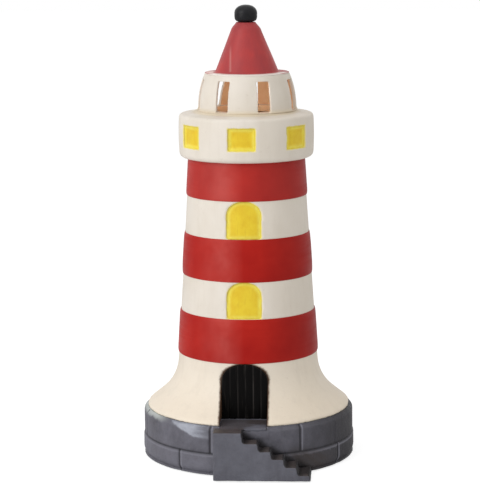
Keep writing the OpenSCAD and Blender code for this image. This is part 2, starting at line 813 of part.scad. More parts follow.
// Outline of the stairs in X and Z, drawn in by a wall, down to a given foot
function stairs_line(wall, foot) =
    concat(
        [[wall - landing_left, foot], [wall - landing_left, z_deck - wall]],
        [[landing_right - wall, z_deck - wall]],
        [for (i = [1 : riser_count - 1])
            let (
                x = landing_right + (i == 1 ? 0 : first_run + (i - 2) * step_run),
                next = landing_right + first_run + (i - 1) * step_run,
                z = z_deck - first_rise - (i - 1) * rise
            )
            each [[x + riser_slope - wall, z - wall], [next - wall, z - wall]]],
        [[stairs_right - wall, foot]]);

module stairs() {
    back_r = upper_stone_r + push_gap;
    low_back_r = stone_r + push_gap;
    tongue_w = door_w - 2 * push_gap;
    color("#66656c")
        difference() {
            union() {
                difference() {
                    prism(stairs_line(0, floor_gap), 0, stairs_front, 0);
                    cylinder(r = back_r, h = stone_h + OVER);
                    cylinder(r = low_back_r, h = course_joint_z + groove_w / 2);
                }
                intersection() {
                    translate([-tongue_w / 2, -stairs_front + stairs_wall, z_deck - tongue_t])
                        cube([tongue_w, stairs_front - stairs_wall - door_y - push_gap, tongue_t]);
                    union() {
                        cylinder(r = upper_stone_r, h = stone_h);
                        translate([-stairs_front, -stairs_front, 0])
                            cube([stairs_front + landing_right, stairs_front, stone_h]);
                    }
                }
                for (x = stairs_peg_x)
                    stairs_peg(x);
            }
            difference() {
                prism(stairs_line(stairs_wall, -OVER), 0, stairs_front - stairs_wall, 0);
                cylinder(r = low_back_r + stairs_wall, h = stone_h);
            }
        }
}

// A peg on the back of the stairs that reaches through the stone wall
module stairs_peg(x) {
    far = sqrt(pow(stone_r, 2) - pow(x, 2)) + OVER;
    near = sqrt(pow(cavity_r, 2) - pow(x, 2)) - OVER;
    translate([x, -far, stairs_peg_z])
        rotate([-90, 0, 0])
            cylinder(r = stairs_peg_r, h = far - near, $fn = SMALL_FN);
}

module base_plate() {
    color("#2c2c2e")
        difference() {
            union() {
                translate([0, 0, z_plate])
                    cylinder(r = plate_r, h = plate_t);
                for (side = [-1, 1])
                    translate([side * bridge_screw_x, 0, z_plate])
                        cylinder(r = bridge_pad_r, h = plate_t + bridge_pad_h, $fn = SMALL_FN);
            }
            for (a = screw_turns)
                rotate([0, 0, a])
                    translate([0, -screw_ring_r, 0]) {
                        shank(z_plate - OVER, plate_t + 2 * OVER);
                        translate([0, 0, z_plate])
                            sunk_head(screw_head_r + push_gap);
                    }
            for (side = [-1, 1])
                translate([side * bridge_screw_x, 0, 0])
                    shank(z_plate + blind_floor, plate_t + bridge_pad_h);
            translate([0, block_near + block_l / 2, 0])
                shank(z_plate + blind_floor, plate_t);
        }
}

// A sunk screw head, or the hole that it lies in
module sunk_head(r) {
    cylinder(r1 = r, r2 = screw_r, h = screw_head_h, $fn = SMALL_FN);
}

// The hole that a screw's shank lies in
module shank(foot, h) {
    translate([0, 0, foot])
        cylinder(r = screw_r + push_gap / 2, h = h, $fn = SMALL_FN);
}

module base_pad() {
    color("#3a3a3c")
        cylinder(r = pad_r, h = pad_t);
}

module base_screws() {
    color("#b8b8ba")
        for (a = screw_turns)
            rotate([0, 0, a])
                translate([0, -screw_ring_r, z_plate]) {
                    sunk_head(screw_head_r);
                    cylinder(r = screw_r, h = screw_l, $fn = SMALL_FN);
                }
}

module cord_bush() {
    outside = stone_r - bush_flat + bush_flange_t;
    inner_face = sqrt(pow(cavity_r, 2) - pow(bush_flange_r, 2)) - push_gap;
    inside = inner_face - bush_flange_t;
    color("#2a2a2a")
        difference() {
            union() {
                spoke(180, bush_neck_r, inside, outside, inlet_z);
                spoke(180, bush_flange_r, outside - bush_flange_t, outside, inlet_z);
                spoke(180, bush_flange_r, inside, inner_face, inlet_z);
            }
            spoke(180, inlet_bore_r, inside - OVER, outside + OVER, inlet_z);
        }
}

module holder_bridge() {
    low = z_plate_top + bridge_pad_h;
    h = z_bridge - low;
    far = bridge_span + bridge_foot;
    edge = bridge_span - bridge_t;
    color("#b8b8ba")
        difference() {
            prism([[-far, 0], [-edge, 0], [-edge, h - bridge_t], [edge, h - bridge_t], [edge, 0], [far, 0],
                    [far, bridge_t], [bridge_span, bridge_t], [bridge_span, h], [-bridge_span, h],
                    [-bridge_span, bridge_t], [-far, bridge_t]],
                -bridge_w / 2, bridge_w / 2, low);
            translate([0, 0, low])
                cylinder(r = nipple_r + push_gap, h = h + OVER, $fn = SMALL_FN);
            for (side = [-1, 1])
                translate([side * bridge_screw_x, 0, 0])
                    shank(low - OVER, bridge_t + 2 * OVER);
        }
}

module bridge_screws() {
    seat = z_plate_top + bridge_pad_h + bridge_t;
    foot = z_plate + blind_floor + push_gap;
    color("#c8c8ca")
        for (side = [-1, 1])
            translate([side * bridge_screw_x, 0, 0]) {
                translate([0, 0, foot])
                    cylinder(r = screw_r, h = seat - foot + OVER, $fn = SMALL_FN);
                translate([0, 0, seat])
                    cylinder(r = screw_head_r, h = screw_head_h, $fn = SMALL_FN);
            }
}

module nipple() {
    color("#c9a94e")
        ring(nipple_r, nipple_bore_r, z_bridge - nipple_below, nipple_l);
}

module nipple_nut() {
    color("#c9a94e")
        translate([0, 0, z_bridge - bridge_t - nut_t])
            difference() {
                cylinder(r = nut_af / 2 / cos(30), h = nut_t, $fn = 6);
                translate([0, 0, -OVER])
                    cylinder(r = nipple_r + push_gap, h = nut_t + 2 * OVER, $fn = SMALL_FN);
            }
}

module holder_lower() {
    in_r = holder_r - holder_wall;
    bore = nipple_r + push_gap;
    color("#2b2523")
        rotate_extrude()
            polygon([[bore, z_bridge], [holder_foot_r, z_bridge], [holder_r, z_bridge + holder_cone_h],
                [holder_r, z_holder_split], [insert_seat_r, z_holder_split], [insert_seat_r, z_insert],
                [in_r, z_insert], [in_r, z_bridge + holder_cone_h + holder_wall],
                [holder_foot_r - holder_wall, z_bridge + holder_floor_t],
                [bore, z_bridge + holder_floor_t]]);
}

module holder_upper() {
    bore = shell_outer_r + push_gap;
    color("#2b2523")
        rotate_extrude()
            polygon([[insert_seat_r, z_holder_split], [holder_r, z_holder_split],
                [holder_r, z_holder_top - holder_cone_h], [holder_r - holder_wall, z_holder_top],
                [bore, z_holder_top], [bore, z_insert_top], [insert_seat_r, z_insert_top]]);
}

module holder_insert() {
    pocket = contact_travel + contact_t + push_gap;
    color("#e8e4da")
        difference() {
            translate([0, 0, z_insert])
                cylinder(r = insert_seat_r - push_gap, h = insert_t);
            translate([-contact_reach - seat_gap, -contact_w / 2 - seat_gap, z_insert_top - pocket])
                cube([contact_reach + contact_tip + 2 * seat_gap, contact_w + 2 * seat_gap, pocket + OVER]);
        }
}

module screw_shell() {
    color("#c9a94e")
        ring(shell_outer_r, shell_inner_r, z_insert_top, holder_up_h - insert_t / 2 - seat_gap);
}

// A bent strip whose tip presses on the bulb
module centre_contact() {
    root = contact_reach - contact_root;
    color("#c98f4e")
        prism([[-contact_reach, -contact_t], [-root, -contact_t], [-contact_tip, contact_rise - contact_t],
                [contact_tip, contact_rise - contact_t], [contact_tip, contact_rise],
                [-contact_tip, contact_rise], [-root, 0], [-contact_reach, 0]],
            -contact_w / 2, contact_w / 2, z_insert_top);
}

module bulb_eyelet() {
    color("#c8c8ca")
        translate([0, 0, z_eyelet])
            cylinder(r1 = eyelet_r - push_gap, r2 = eyelet_r, h = eyelet_h, $fn = SMALL_FN);
}

module bulb_insulator() {
    color("#17181c")
        translate([0, 0, z_insulator])
            cylinder(r1 = eyelet_r + eyelet_h / 2, r2 = cap_r - cap_wave, h = insulator_h);
}

module bulb_cap() {
    turns = floor(cap_h / cap_pitch) - 1;
    start = cap_h - cap_pitch * (turns + 0.5);
    in_r = cap_r - cap_wave - cap_t;
    color("#c8c8ca")
        translate([0, 0, z_cap])
            rotate_extrude()
                polygon(concat(
                    [[in_r, 0], [cap_r - cap_wave, 0]],
                    [for (i = [0 : turns * WAVE_STEPS])
                        let (a = 360 * i / WAVE_STEPS)
                        [cap_r - cap_wave * (1 + cos(a)) / 2, start + cap_pitch * i / WAVE_STEPS]],
                    [[cap_r - cap_wave, cap_h], [in_r, cap_h]]));
}

// Radius of the candle-shaped glass at a share of its height above the cap
function glass_line(t) =
    t < glass_belly
        ? glass_neck_r + (glass_r - glass_neck_r) * (1 - cos(180 * t / glass_belly)) / 2
        : glass_r * pow(cos(90 * (t - glass_belly) / (1 - glass_belly)), glass_full);

module bulb_glass() {
    steps = [for (i = [0 : GLASS_STEPS - 1]) i / GLASS_STEPS];
    foot = z_glass - glass_in_cap;
    tip = z_glass + glass_h;
    thin = 1 - 2 * glass_t / glass_h;
    color([0.95, 0.93, 0.86, 0.5])
        rotate_extrude()
            polygon(concat(
                [[glass_neck_r, foot]],
                [for (t = steps) [glass_line(t), z_glass + t * glass_h]],
                [[0, tip], [0, tip - glass_t]],
                [for (t = reversed(steps)) [glass_line(t) - glass_t, z_glass + t * thin * glass_h]],
                [[glass_neck_r - glass_t, foot]]));
}

module bulb_stem() {
    color("#d8dcdc") {
        foot = z_glass - glass_in_cap;
        translate([0, 0, foot])
            cylinder(r = glass_neck_r - glass_t - push_gap, h = stem_foot_h, $fn = SMALL_FN);
        translate([0, 0, foot])
            cylinder(r = stem_r, h = strip_z + strip_h - foot, $fn = SMALL_FN);
    }
}

module bulb_strips() {
    color("#e8cc6a")
        for (i = [0 : strip_count - 1])
            rotate([0, 0, 360 * i / strip_count]) {
                translate([0, -strip_ring_r, strip_z])
                    cylinder(r = strip_r, h = strip_h, $fn = SMALL_FN);
                for (z = [strip_z + strip_r, strip_z + strip_h - strip_r])
                    spoke(0, strip_wire_r, stem_r + push_gap, strip_ring_r, z);
            }
}

module terminal_block() {
    color("#e6e2d6")
        difference() {
            translate([-block_w / 2, block_near, z_plate_top])
                cube([block_w, block_l, block_h]);
            for (side = [-1, 1]) {
                translate([side * terminal_apart, block_near - OVER, lead_floor])
                    rotate([-90, 0, 0])
                        cylinder(r = terminal_bore_r, h = block_l + 2 * OVER, $fn = SMALL_FN);
                for (y = terminal_rows)
                    translate([side * terminal_apart, y, lead_floor])
                        cylinder(r = terminal_screw_r + push_gap, h = block_h, $fn = SMALL_FN);
            }
            translate([0, block_near + block_l / 2, 0]) {
                shank(z_plate_top - OVER, block_h + 2 * OVER);
                translate([0, 0, z_plate_top + block_h - block_head_depth])
                    cylinder(r = screw_head_r + push_gap, h = block_h, $fn = SMALL_FN);
            }
        }
}

module terminal_screws() {
    foot = lead_floor + lead_r + push_gap;
    color("#c9a94e")
        for (side = [-1, 1])
            for (y = terminal_rows)
                translate([side * terminal_apart, y, foot])
                    cylinder(r = terminal_screw_r, h = z_plate_top + block_h - foot, $fn = SMALL_FN);
}

module block_screw() {
    seat = z_plate_top + block_h - block_head_depth;
    foot = z_plate + blind_floor + push_gap;
    color("#c8c8ca")
        translate([0, block_near + block_l / 2, 0]) {
            translate([0, 0, foot])
                cylinder(r = screw_r, h = seat - foot + OVER / 2, $fn = SMALL_FN);
            translate([0, 0, seat])
                cylinder(r = screw_head_r, h = screw_head_h, $fn = SMALL_FN);
        }
}

// Where a lead runs: from its terminal towards the axis, up in a bend, then up the nipple
function lead_path(side) =
    let (
        start = terminal_rows[0] + terminal_screw_r,
        bend_z = lead_floor + lead_bend,
        end_z = z_insert - push_gap
    )
    concat(
        [for (i = [0 : LEAD_RUN_RINGS])
            let (
                t = i / LEAD_RUN_RINGS,
                y = start + (lead_bend - start) * t,
                near = min(1, max(0, (block_near - y) / (block_near - lead_bend))),
                ease = (1 - cos(180 * near)) / 2
            )
            [side * (terminal_apart + (lead_apart - terminal_apart) * ease), y, lead_floor]],
        [for (i = [1 : LEAD_BEND_RINGS])
            let (a = 90 * i / LEAD_BEND_RINGS)
            [side * lead_apart, lead_bend * (1 - sin(a)), bend_z - lead_bend * cos(a)]],
        [for (i = [1 : LEAD_RUN_RINGS])
            [side * lead_apart, 0, bend_z + (end_z - bend_z) * i / LEAD_RUN_RINGS]]);

// A round tube along points, with its rings square to the line through their neighbours
module lead(path) {
    n = len(path);
    rings = [for (i = [0 : n - 1])
        let (
            ahead = path[min(i + 1, n - 1)] - path[max(i - 1, 0)],
            t = ahead / norm(ahead),
            u0 = [1, 0, 0] - t * t[0],
            u = u0 / norm(u0),
            v = cross(t, u)
        )
        for (k = [0 : LEAD_SIDES - 1])
            let (a = 360 * k / LEAD_SIDES)
            path[i] + lead_r * (cos(a) * u + sin(a) * v)];
    sides = [for (i = [0 : n - 2])
        for (k = [0 : LEAD_SIDES - 1])
            let (
                a = i * LEAD_SIDES + k,
                b = i * LEAD_SIDES + (k + 1) % LEAD_SIDES
            )
            each [[a, a + LEAD_SIDES, b + LEAD_SIDES], [a, b + LEAD_SIDES, b]]];
    first = [for (k = [0 : LEAD_SIDES - 1]) k];
    last = [for (k = [LEAD_SIDES - 1 : -1 : 0]) (n - 1) * LEAD_SIDES + k];
    polyhedron(rings, concat(sides, [first, last]));
}

module live_lead() {
    color("#7a4a2a")
        lead(lead_path(1));
}

module neutral_lead() {
    color("#3a62a8")
        lead(lead_path(-1));
}

finial_ball();
roof();
lantern_room();
gallery();
for (i = [1 : bay_count])
    gallery_pane(i);
band_upper();
band_middle();
band_lower();
tower_shell();
window_upper();
window_lower();
door_leaf();
stone_base();
stairs();
base_plate();
base_pad();
base_screws();
cord_bush();
holder_bridge();
bridge_screws();
nipple();
nipple_nut();
holder_lower();
holder_insert();
screw_shell();
centre_contact();
holder_upper();
bulb_eyelet();
bulb_insulator();
bulb_cap();
bulb_glass();
bulb_stem();
bulb_strips();
terminal_block();
terminal_screws();
block_screw();
live_lead();
neutral_lead();
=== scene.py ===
# %% [markdown]
# # A lighthouse night light, dressed for the camera
# The lamp is a hollow painted casting: a white tower with three red bands, an open lantern room under a
# red cone, and a two-course stone base with a flight of stairs. The engineering model arrives as a
# finished frame with every piece in its place, in metres. This notebook gives each visible piece the
# softened edges, uneven skin and paint of a hand-finished casting, and then sets up the studio.

# %% Load the frame
import json
from math import ceil, copysign, cos, hypot, pi, radians, sin

import bmesh
import bpy
import numpy as np
from mathutils import Matrix, Vector


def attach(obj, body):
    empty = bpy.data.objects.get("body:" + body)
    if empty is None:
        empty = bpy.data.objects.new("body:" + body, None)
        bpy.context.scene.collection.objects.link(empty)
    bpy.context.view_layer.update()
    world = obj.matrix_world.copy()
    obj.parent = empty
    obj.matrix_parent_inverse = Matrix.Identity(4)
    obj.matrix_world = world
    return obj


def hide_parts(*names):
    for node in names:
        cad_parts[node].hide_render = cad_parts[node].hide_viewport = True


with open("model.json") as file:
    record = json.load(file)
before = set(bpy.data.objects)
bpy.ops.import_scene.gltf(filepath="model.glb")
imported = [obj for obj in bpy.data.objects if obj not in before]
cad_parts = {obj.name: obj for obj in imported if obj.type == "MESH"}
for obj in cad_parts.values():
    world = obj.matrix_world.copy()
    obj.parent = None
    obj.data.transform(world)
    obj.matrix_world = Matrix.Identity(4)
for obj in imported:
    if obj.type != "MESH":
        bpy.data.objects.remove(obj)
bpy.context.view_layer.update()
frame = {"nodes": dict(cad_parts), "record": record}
scene = bpy.context.scene
MM = 0.001

# %% [markdown]
# ## The camera comes first
# The picture was taken from a little above the middle of the tower with a long lens, so the base shows
# its top and the lines hardly converge. A pinhole camera is built from those few facts: how far off it
# stands, how high, how far it tips down, and the slight lean of a camera that isn't quite level.

# %% Camera
FRAME_HIGH = 485
FOCAL_PX = 2000
camera_data = bpy.data.cameras.new("studio_camera")
camera_data.sensor_width = 36
camera_data.lens = FOCAL_PX / FRAME_HIGH * camera_data.sensor_width
camera = bpy.data.objects.new("studio_camera", camera_data)
scene.collection.objects.link(camera)
scene.camera = camera

STAND_OFF, EYE_HEIGHT = 1.360, 0.3745
AROUND, AIM_LEFT, TIP_DOWN, LEAN = (radians(a) for a in (3.2, 0.21, 9.5, -0.52))
place = Vector((sin(AROUND) * STAND_OFF, -cos(AROUND) * STAND_OFF, EYE_HEIGHT))
turn = (Matrix.Rotation(AROUND + AIM_LEFT, 4, "Z") @ Matrix.Rotation(pi / 2 - TIP_DOWN, 4, "X")
        @ Matrix.Rotation(LEAN, 4, "Z"))
camera.matrix_world = Matrix.Translation(place) @ turn
camera_data.clip_start, camera_data.clip_end = 0.05, 30
print("camera lens", round(camera_data.lens, 1), "mm")

# %% [markdown]
# ## Wiring nodes by hand, with less typing
# Materials and Geometry Nodes are both graphs. This small class holds one graph: it adds a node, sets its
# options and feeds its inputs, each with a plain value or with another node's output. Everything below
# is wired with it, so a whole material reads like a short recipe.


# %% Graph helpers
class Graph:
    """A node tree, and the few ways in which this notebook wires one."""

    def __init__(self, tree):
        self.tree = tree

    def add(self, kind, feeds=None, **options):
        node = self.tree.nodes.new(kind)
        for key, value in options.items():
            setattr(node, key, value)
        for key, value in (feeds or {}).items():
            if isinstance(value, bpy.types.NodeSocket):
                self.tree.links.new(value, node.inputs[key])
            else:
                node.inputs[key].default_value = value
        return node

    def out(self, kind, feeds=None, **options):
        return self.add(kind, feeds, **options).outputs[0]

    def maths(self, operation, *values):
        return self.out("ShaderNodeMath", dict(enumerate(values)), operation=operation)

    def times(self, a, b):
        return self.maths("MULTIPLY", a, b)

    def plus(self, a, b):
        return self.maths("ADD", a, b)

    def minus(self, a, b):
        return self.maths("SUBTRACT", a, b)

    def ranged(self, value, start=0.0, end=1.0, low=0.0, high=1.0):
        return self.out("ShaderNodeMapRange", {0: value, 1: start, 2: end, 3: low, 4: high})

    def clamp(self, value):
        return self.out("ShaderNodeClamp", {0: value})

    def parts(self, vector):
        return self.add("ShaderNodeSeparateXYZ", {0: vector}).outputs

    def joined(self, *parts):
        return self.out("ShaderNodeCombineXYZ", dict(enumerate(parts)))

    def scaled(self, vector, by):
        return self.out("ShaderNodeVectorMath", {0: vector, "Scale": by}, operation="SCALE")

    def position(self):
        return self.out("GeometryNodeInputPosition")


# %% [markdown]
# ## Parts of a painted finish
# A hand-painted casting is never one flat colour. A paint starts from two tones mixed by a noise, and is
# then covered coat by coat. It reads the place on the piece from its Object coordinates, so the pattern
# stays put when the piece moves. A coat can also follow a mark that is stored on the mesh, such as how
# worn an edge is. Colours are written as they look on a screen, and `linear` turns them into light.


# %% Paint helpers
def linear(red, green, blue):
    parts = [c / 255 for c in (red, green, blue)]
    return tuple(p / 12.92 if p <= 0.04045 else ((p + 0.055) / 1.055) ** 2.4 for p in parts) + (1.0,)


class Paint(Graph):
    """A material in the making, with the colour that is mixed so far."""

    def __init__(self, name, settings):
        self.material = bpy.data.materials.new(name)
        self.material.use_nodes = True
        super().__init__(self.material.node_tree)
        self.shader = self.tree.nodes["Principled BSDF"]
        for key, value in settings.items():
            self.shader.inputs[key].default_value = value

    def place(self, stretch=(1, 1, 1)):
        where = self.add("ShaderNodeTexCoord").outputs["Object"]
        return self.out("ShaderNodeMapping", {0: where, 3: stretch})

    def along(self, axis, start, end, high=1.0):
        """How far along an axis a point lies: 0 at the start and high at the end, both in metres."""
        return self.ranged(self.parts(self.place())[axis], start, end, high=high)

    def mottle(self, size_mm, detail=3.0, stretch=(1, 1, 1), low=0.35, high=0.65):
        noise = self.out("ShaderNodeTexNoise", {"Vector": self.place(stretch), "Scale": 1000 / size_mm,
                                                "Detail": detail, "Roughness": 0.6})
        return self.ranged(noise, low, high)

    def stored(self, mark):
        return self.add("ShaderNodeAttribute", attribute_name=mark).outputs["Fac"]

    def mix(self, share, *under_over):
        tones = [t if isinstance(t, bpy.types.NodeSocket) else linear(*t) for t in under_over]
        return self.add("ShaderNodeMix", {0: share, 6: tones[0], 7: tones[1]}, data_type="RGBA").outputs[2]

    def coat(self, share, tone, strength=1.0):
        """One more tone over the colour, by a share or by the name of a mark on the mesh."""
        share = self.stored(share) if isinstance(share, str) else share
        self.colour = self.mix(share if strength == 1.0 else self.times(share, strength), self.colour, tone)

    def finish(self, share, low, high, relief, depth_mm):
        """The material, as rough as the low value up to the high one, with a fine relief."""
        rough = self.ranged(share, low=low, high=high)
        bump = self.out("ShaderNodeBump", {"Height": relief, "Distance": depth_mm * MM, "Strength": 1.0})
        for name, value in (("Base Color", self.colour), ("Roughness", rough), ("Normal", bump)):
            self.tree.links.new(value, self.shader.inputs[name])
        return self.material


# %% [markdown]
# ## Casting paint: red and black
# The bands, the roof and the ball wear the same kind of satin paint over a slightly grainy casting. One
# recipe makes them all: a main colour, a second tone that drifts through it in soft clouds, faint brush
# streaks, rubbed edges where the paint has thinned and which are also lightened as painted edge
# highlights, and dust with painted shade in the hollows. Both reds get painted shade on their right side.
# The bands also get a painted reflection haze high up, and a soft pale strip of painted highlight.


# %% Satin paint
ACROSS, UP = 0, 2


def satin_paint(name, main, drift, edge, hollow, rough=0.42, streak=0.25, run=(0.25, 0.25, 2.6), shine=0.25,
                lee=0.0, painted_highlight=0.0, painted_haze=0.0):
    paint = Paint(name, {"Specular IOR Level": shine})
    paint.colour = paint.mix(paint.mottle(38), main, drift)
    brush = paint.mottle(9, 4.0, run, 0.42, 0.72)
    paint.coat(brush, drift, streak)
    # Rubbed edges, lightened also as painted edge highlights.
    paint.coat(paint.times(paint.stored("worn_edge"), paint.mottle(6, low=0.25, high=0.6)), edge, 0.6)
    # Dust and painted shade in the creases.
    paint.coat("hollow", hollow, 0.6)
    # Painted glint and reflection, where the roof stores them.
    paint.coat("thin_paint", (240, 205, 196))
    paint.coat("cream_over", (238, 231, 222))
    # Painted shade: the colour darkens towards the right side, away from the light.
    paint.coat(paint.along(ACROSS, 0.010, 0.045), hollow, lee)
    # Painted highlight: a soft pale strip a little left of the middle, where the lamp's reflection lies.
    strip = paint.times(paint.along(ACROSS, -0.034, -0.016), paint.along(ACROSS, 0.0, -0.012))
    paint.coat(paint.times(strip, paint.mottle(16, 2.0, low=0.1, high=0.6)), (226, 128, 120), painted_highlight)
    # Painted reflection haze: the bands turn paler high up.
    paint.coat(paint.along(UP, 0.165, 0.185, painted_haze), (204, 116, 112))
    return paint.finish(brush, rough - 0.05, rough + 0.09, paint.mottle(1.6, 2.0, low=0.2, high=0.8), 0.035)


band_paint = satin_paint("band_red_paint", (184, 35, 25), (165, 24, 18), (202, 74, 62), (92, 14, 12),
                         shine=0.12, lee=0.3, painted_highlight=0.2, painted_haze=0.09)
roof_paint = satin_paint("roof_red_paint", (184, 62, 60), (156, 60, 63), (208, 116, 112), (110, 28, 28),
                         rough=0.48, streak=0.7, run=(1.0, 1.0, 0.16), lee=0.2)
ball_paint = satin_paint("ball_black_paint", (15, 15, 17), (24, 24, 27), (64, 64, 68), (10, 10, 11),
                         shine=0.2)
print("satin paints:", [m.name for m in (band_paint, roof_paint, ball_paint)])


# %% [markdown]
# ## The white tower's glaze
# The white is a warm cream, warmer and a little dusty towards the foot, and brown where the brush ran
# round the doorway. Yellow has run over the windows' edges. Painted shade lies in the cove under the
# lantern room and, with dust, in the creases, and darkens the right side. Inside, the casting was never
# painted and keeps its bare clay colour. Those places, all but the right side, are stored on the mesh
# later, under the names that are read here.


# %% White paint
def white_paint(name):
    paint = Paint(name, {"Specular IOR Level": 0.3})
    paint.colour = paint.mix(paint.mottle(45), (233, 225, 214), (225, 216, 203))
    paint.coat(paint.along(UP, 0.105, 0.035), (242, 229, 209), 0.85)
    paint.coat(paint.mottle(7, 4.0, (1.0, 1.0, 0.16), 0.5, 0.75), (205, 194, 178), 0.22)
    # Painted shade: the white darkens and warms towards the right side.
    paint.coat(paint.along(ACROSS, 0.0, 0.045), (214, 198, 170), 0.2)
    paint.coat(paint.mottle(2.2, 2.0, low=0.66, high=0.74), (170, 150, 128), 0.12)
    # Dust and painted shade in the creases.
    paint.coat("hollow", (196, 174, 146), 0.45)
    # Painted shade in the cove where the lantern room meets the gallery.
    paint.coat("filler", (216, 200, 172))
    paint.coat("bare_inside", paint.mix(paint.mottle(14), (236, 200, 158), (225, 183, 139)))
    paint.coat("brown_line", (84, 60, 43))
    paint.coat("yellow_line", (240, 226, 136))
    return paint.finish(paint.mottle(12), 0.40, 0.54, paint.mottle(2.0, 3.0, low=0.2, high=0.8), 0.05)


tower_paint = white_paint("tower_white_paint")
print("white paint:", tower_paint.name)


# %% [markdown]
# ## Yellow panes
# The windows look painted: a golden yellow that pools darker in the middle of each pane and thins to a
# lighter lemon along its rim. A thin painted shade lies where the wall's edge stands over the pane.


# %% Yellow paint
def pane_paint(name):
    paint = Paint(name, {"Specular IOR Level": 0.3})
    paint.colour = paint.mix(paint.mottle(7), (236, 206, 50), (230, 194, 42))
    rim = paint.times(paint.stored("pane_rim"), paint.ranged(paint.mottle(3), low=0.55))
    paint.coat(rim, (242, 228, 92))
    # Painted shade under the wall's edge.
    paint.coat("pane_shade", (176, 150, 58))
    strokes = paint.mottle(3.5, 3.0, (1.6, 1.6, 0.3), 0.55, 0.75)
    paint.coat(strokes, (205, 160, 36), 0.3)
    paint.coat("bare_inside", (196, 148, 70))
    return paint.finish(strokes, 0.34, 0.5, paint.mottle(2.5), 0.06)


window_paint = pane_paint("pane_yellow_paint")
print("pane paint:", window_paint.name)


# %% [markdown]
# ## Stone and door
# The base is painted like slate: a bluish grey, sponged with lighter and darker tones, with joints that
# have caught dark wash and edges rubbed pale, lightened also as painted edge highlights. Painted light and
# shade lie on it too: a highlight on the top rim and light lips beside the joints on the left, shade over
# the right side and in the creases, shadows beside the steps, and brown shade with dirt by the lowest
# steps. One corner beside the door is a fresh, light chip. The door is near black, with thin painted
# highlights along the plank edges and painted shade in its grooves.


# %% Stone paint and door stain
def stone_paint(name, main, light, dark, edge):
    paint = Paint(name, {"Specular IOR Level": 0.25})
    sponge = paint.mottle(11, 6.0, low=0.3, high=0.7)
    paint.colour = paint.mix(sponge, dark, light)
    paint.coat(0.55, main)
    paint.coat(paint.mottle(5, 3.0, (1.2, 1.2, 0.35), 0.5, 0.8), light, 0.3)
    # Painted shade: the stone darkens towards the right side.
    paint.coat(paint.along(ACROSS, 0.028, 0.066), dark, 0.95)
    # Rubbed edges, lightened also as painted edge highlights.
    paint.coat(paint.times(paint.stored("worn_edge"), paint.ranged(paint.mottle(5), low=0.1, high=0.6)), edge)
    chip = paint.mix(paint.mottle(8), (176, 179, 190), (152, 155, 166))
    # Marks, with painted light and shade among them: rim and lip highlights, step shadows and brown shade.
    for mark, tone in (("chip", chip), ("pale_rim", (206, 212, 208)), ("joint_light", (140, 139, 150)),
                       ("brown_wash", (62, 54, 51)), ("dark_wash", (30, 27, 28)), ("hollow", (52, 50, 56)),
                       ("joint", (30, 29, 34))):
        paint.coat(mark, tone, 0.9)
    return paint.finish(sponge, 0.48, 0.62, paint.mottle(2.4, 5.0), 0.12)


def door_stain(name):
    paint = Paint(name, {"Specular IOR Level": 0.08})
    fibre = paint.mottle(2.6, 5.0, (1.7, 1.0, 0.1), 0.58, 0.8)
    paint.colour = paint.mix(paint.times(fibre, 0.5), (5, 4, 4), (74, 68, 62))
    # Plank edges lightened as painted edge highlights, with some wear.
    paint.coat("worn_edge", (78, 70, 64), 0.5)
    # Painted shade, near black, in the grooves between the planks.
    paint.coat("hollow", (4, 3, 3), 0.9)
    broken = paint.mottle(7, 3.0, (1, 1, 0.4), 0.35, 0.6)
    # Painted highlights along the plank edges.
    paint.coat(paint.times(paint.stored("plank_lip"), broken), (66, 62, 60))
    return paint.finish(fibre, 0.36, 0.55, fibre, 0.10)


slate_paint = stone_paint("stone_slate_paint", (100, 99, 108), (117, 116, 126), (46, 44, 48), (146, 148, 152))
stair_paint = stone_paint("stairs_slate_paint", (97, 97, 106), (111, 112, 121), (74, 73, 80), (122, 122, 128))
plank_stain = door_stain("door_black_stain")
print("stone and door:", slate_paint.name, stair_paint.name, plank_stain.name)


# %% [markdown]
# ## Finishes that stay inside
# The base hides a lamp holder, its bridge, leads and screws, and they show as soon as the tower is
# lifted off. Each is moulded, turned or stamped, so each gets the marks of that: fine grain on moulded
# plastic, drawn lines on brass and steel, tiny pores in foam and ceramic.


# %% Moulded, metal and clear finishes
def moulded(name, main, second, rough=0.45, grain_mm=1.2, depth_mm=0.03):
    paint = Paint(name, {"Specular IOR Level": 0.5})
    paint.colour = paint.mix(paint.mottle(16), main, second)
    grain = paint.mottle(grain_mm, 3.0, low=0.3, high=0.7)
    return paint.finish(grain, rough - 0.05, rough + 0.07, grain, depth_mm)


def metal(name, main, second, rough, drawn=(1.0, 1.0, 0.12)):
    paint = Paint(name, {"Metallic": 1.0})
    tarnish = paint.mottle(9, 4.0)
    paint.colour = paint.mix(tarnish, main, second)
    return paint.finish(tarnish, rough, rough + 0.16, paint.mottle(0.9, 2.0, drawn), 0.008)


def clear(name, tint, rough=0.03):
    paint = Paint(name, {"Transmission Weight": 1.0, "IOR": 1.47})
    paint.colour = paint.mix(paint.mottle(20), tint, [c - 4 for c in tint])
    return paint.finish(paint.mottle(12), rough, rough + 0.03, paint.mottle(14), 0.01)


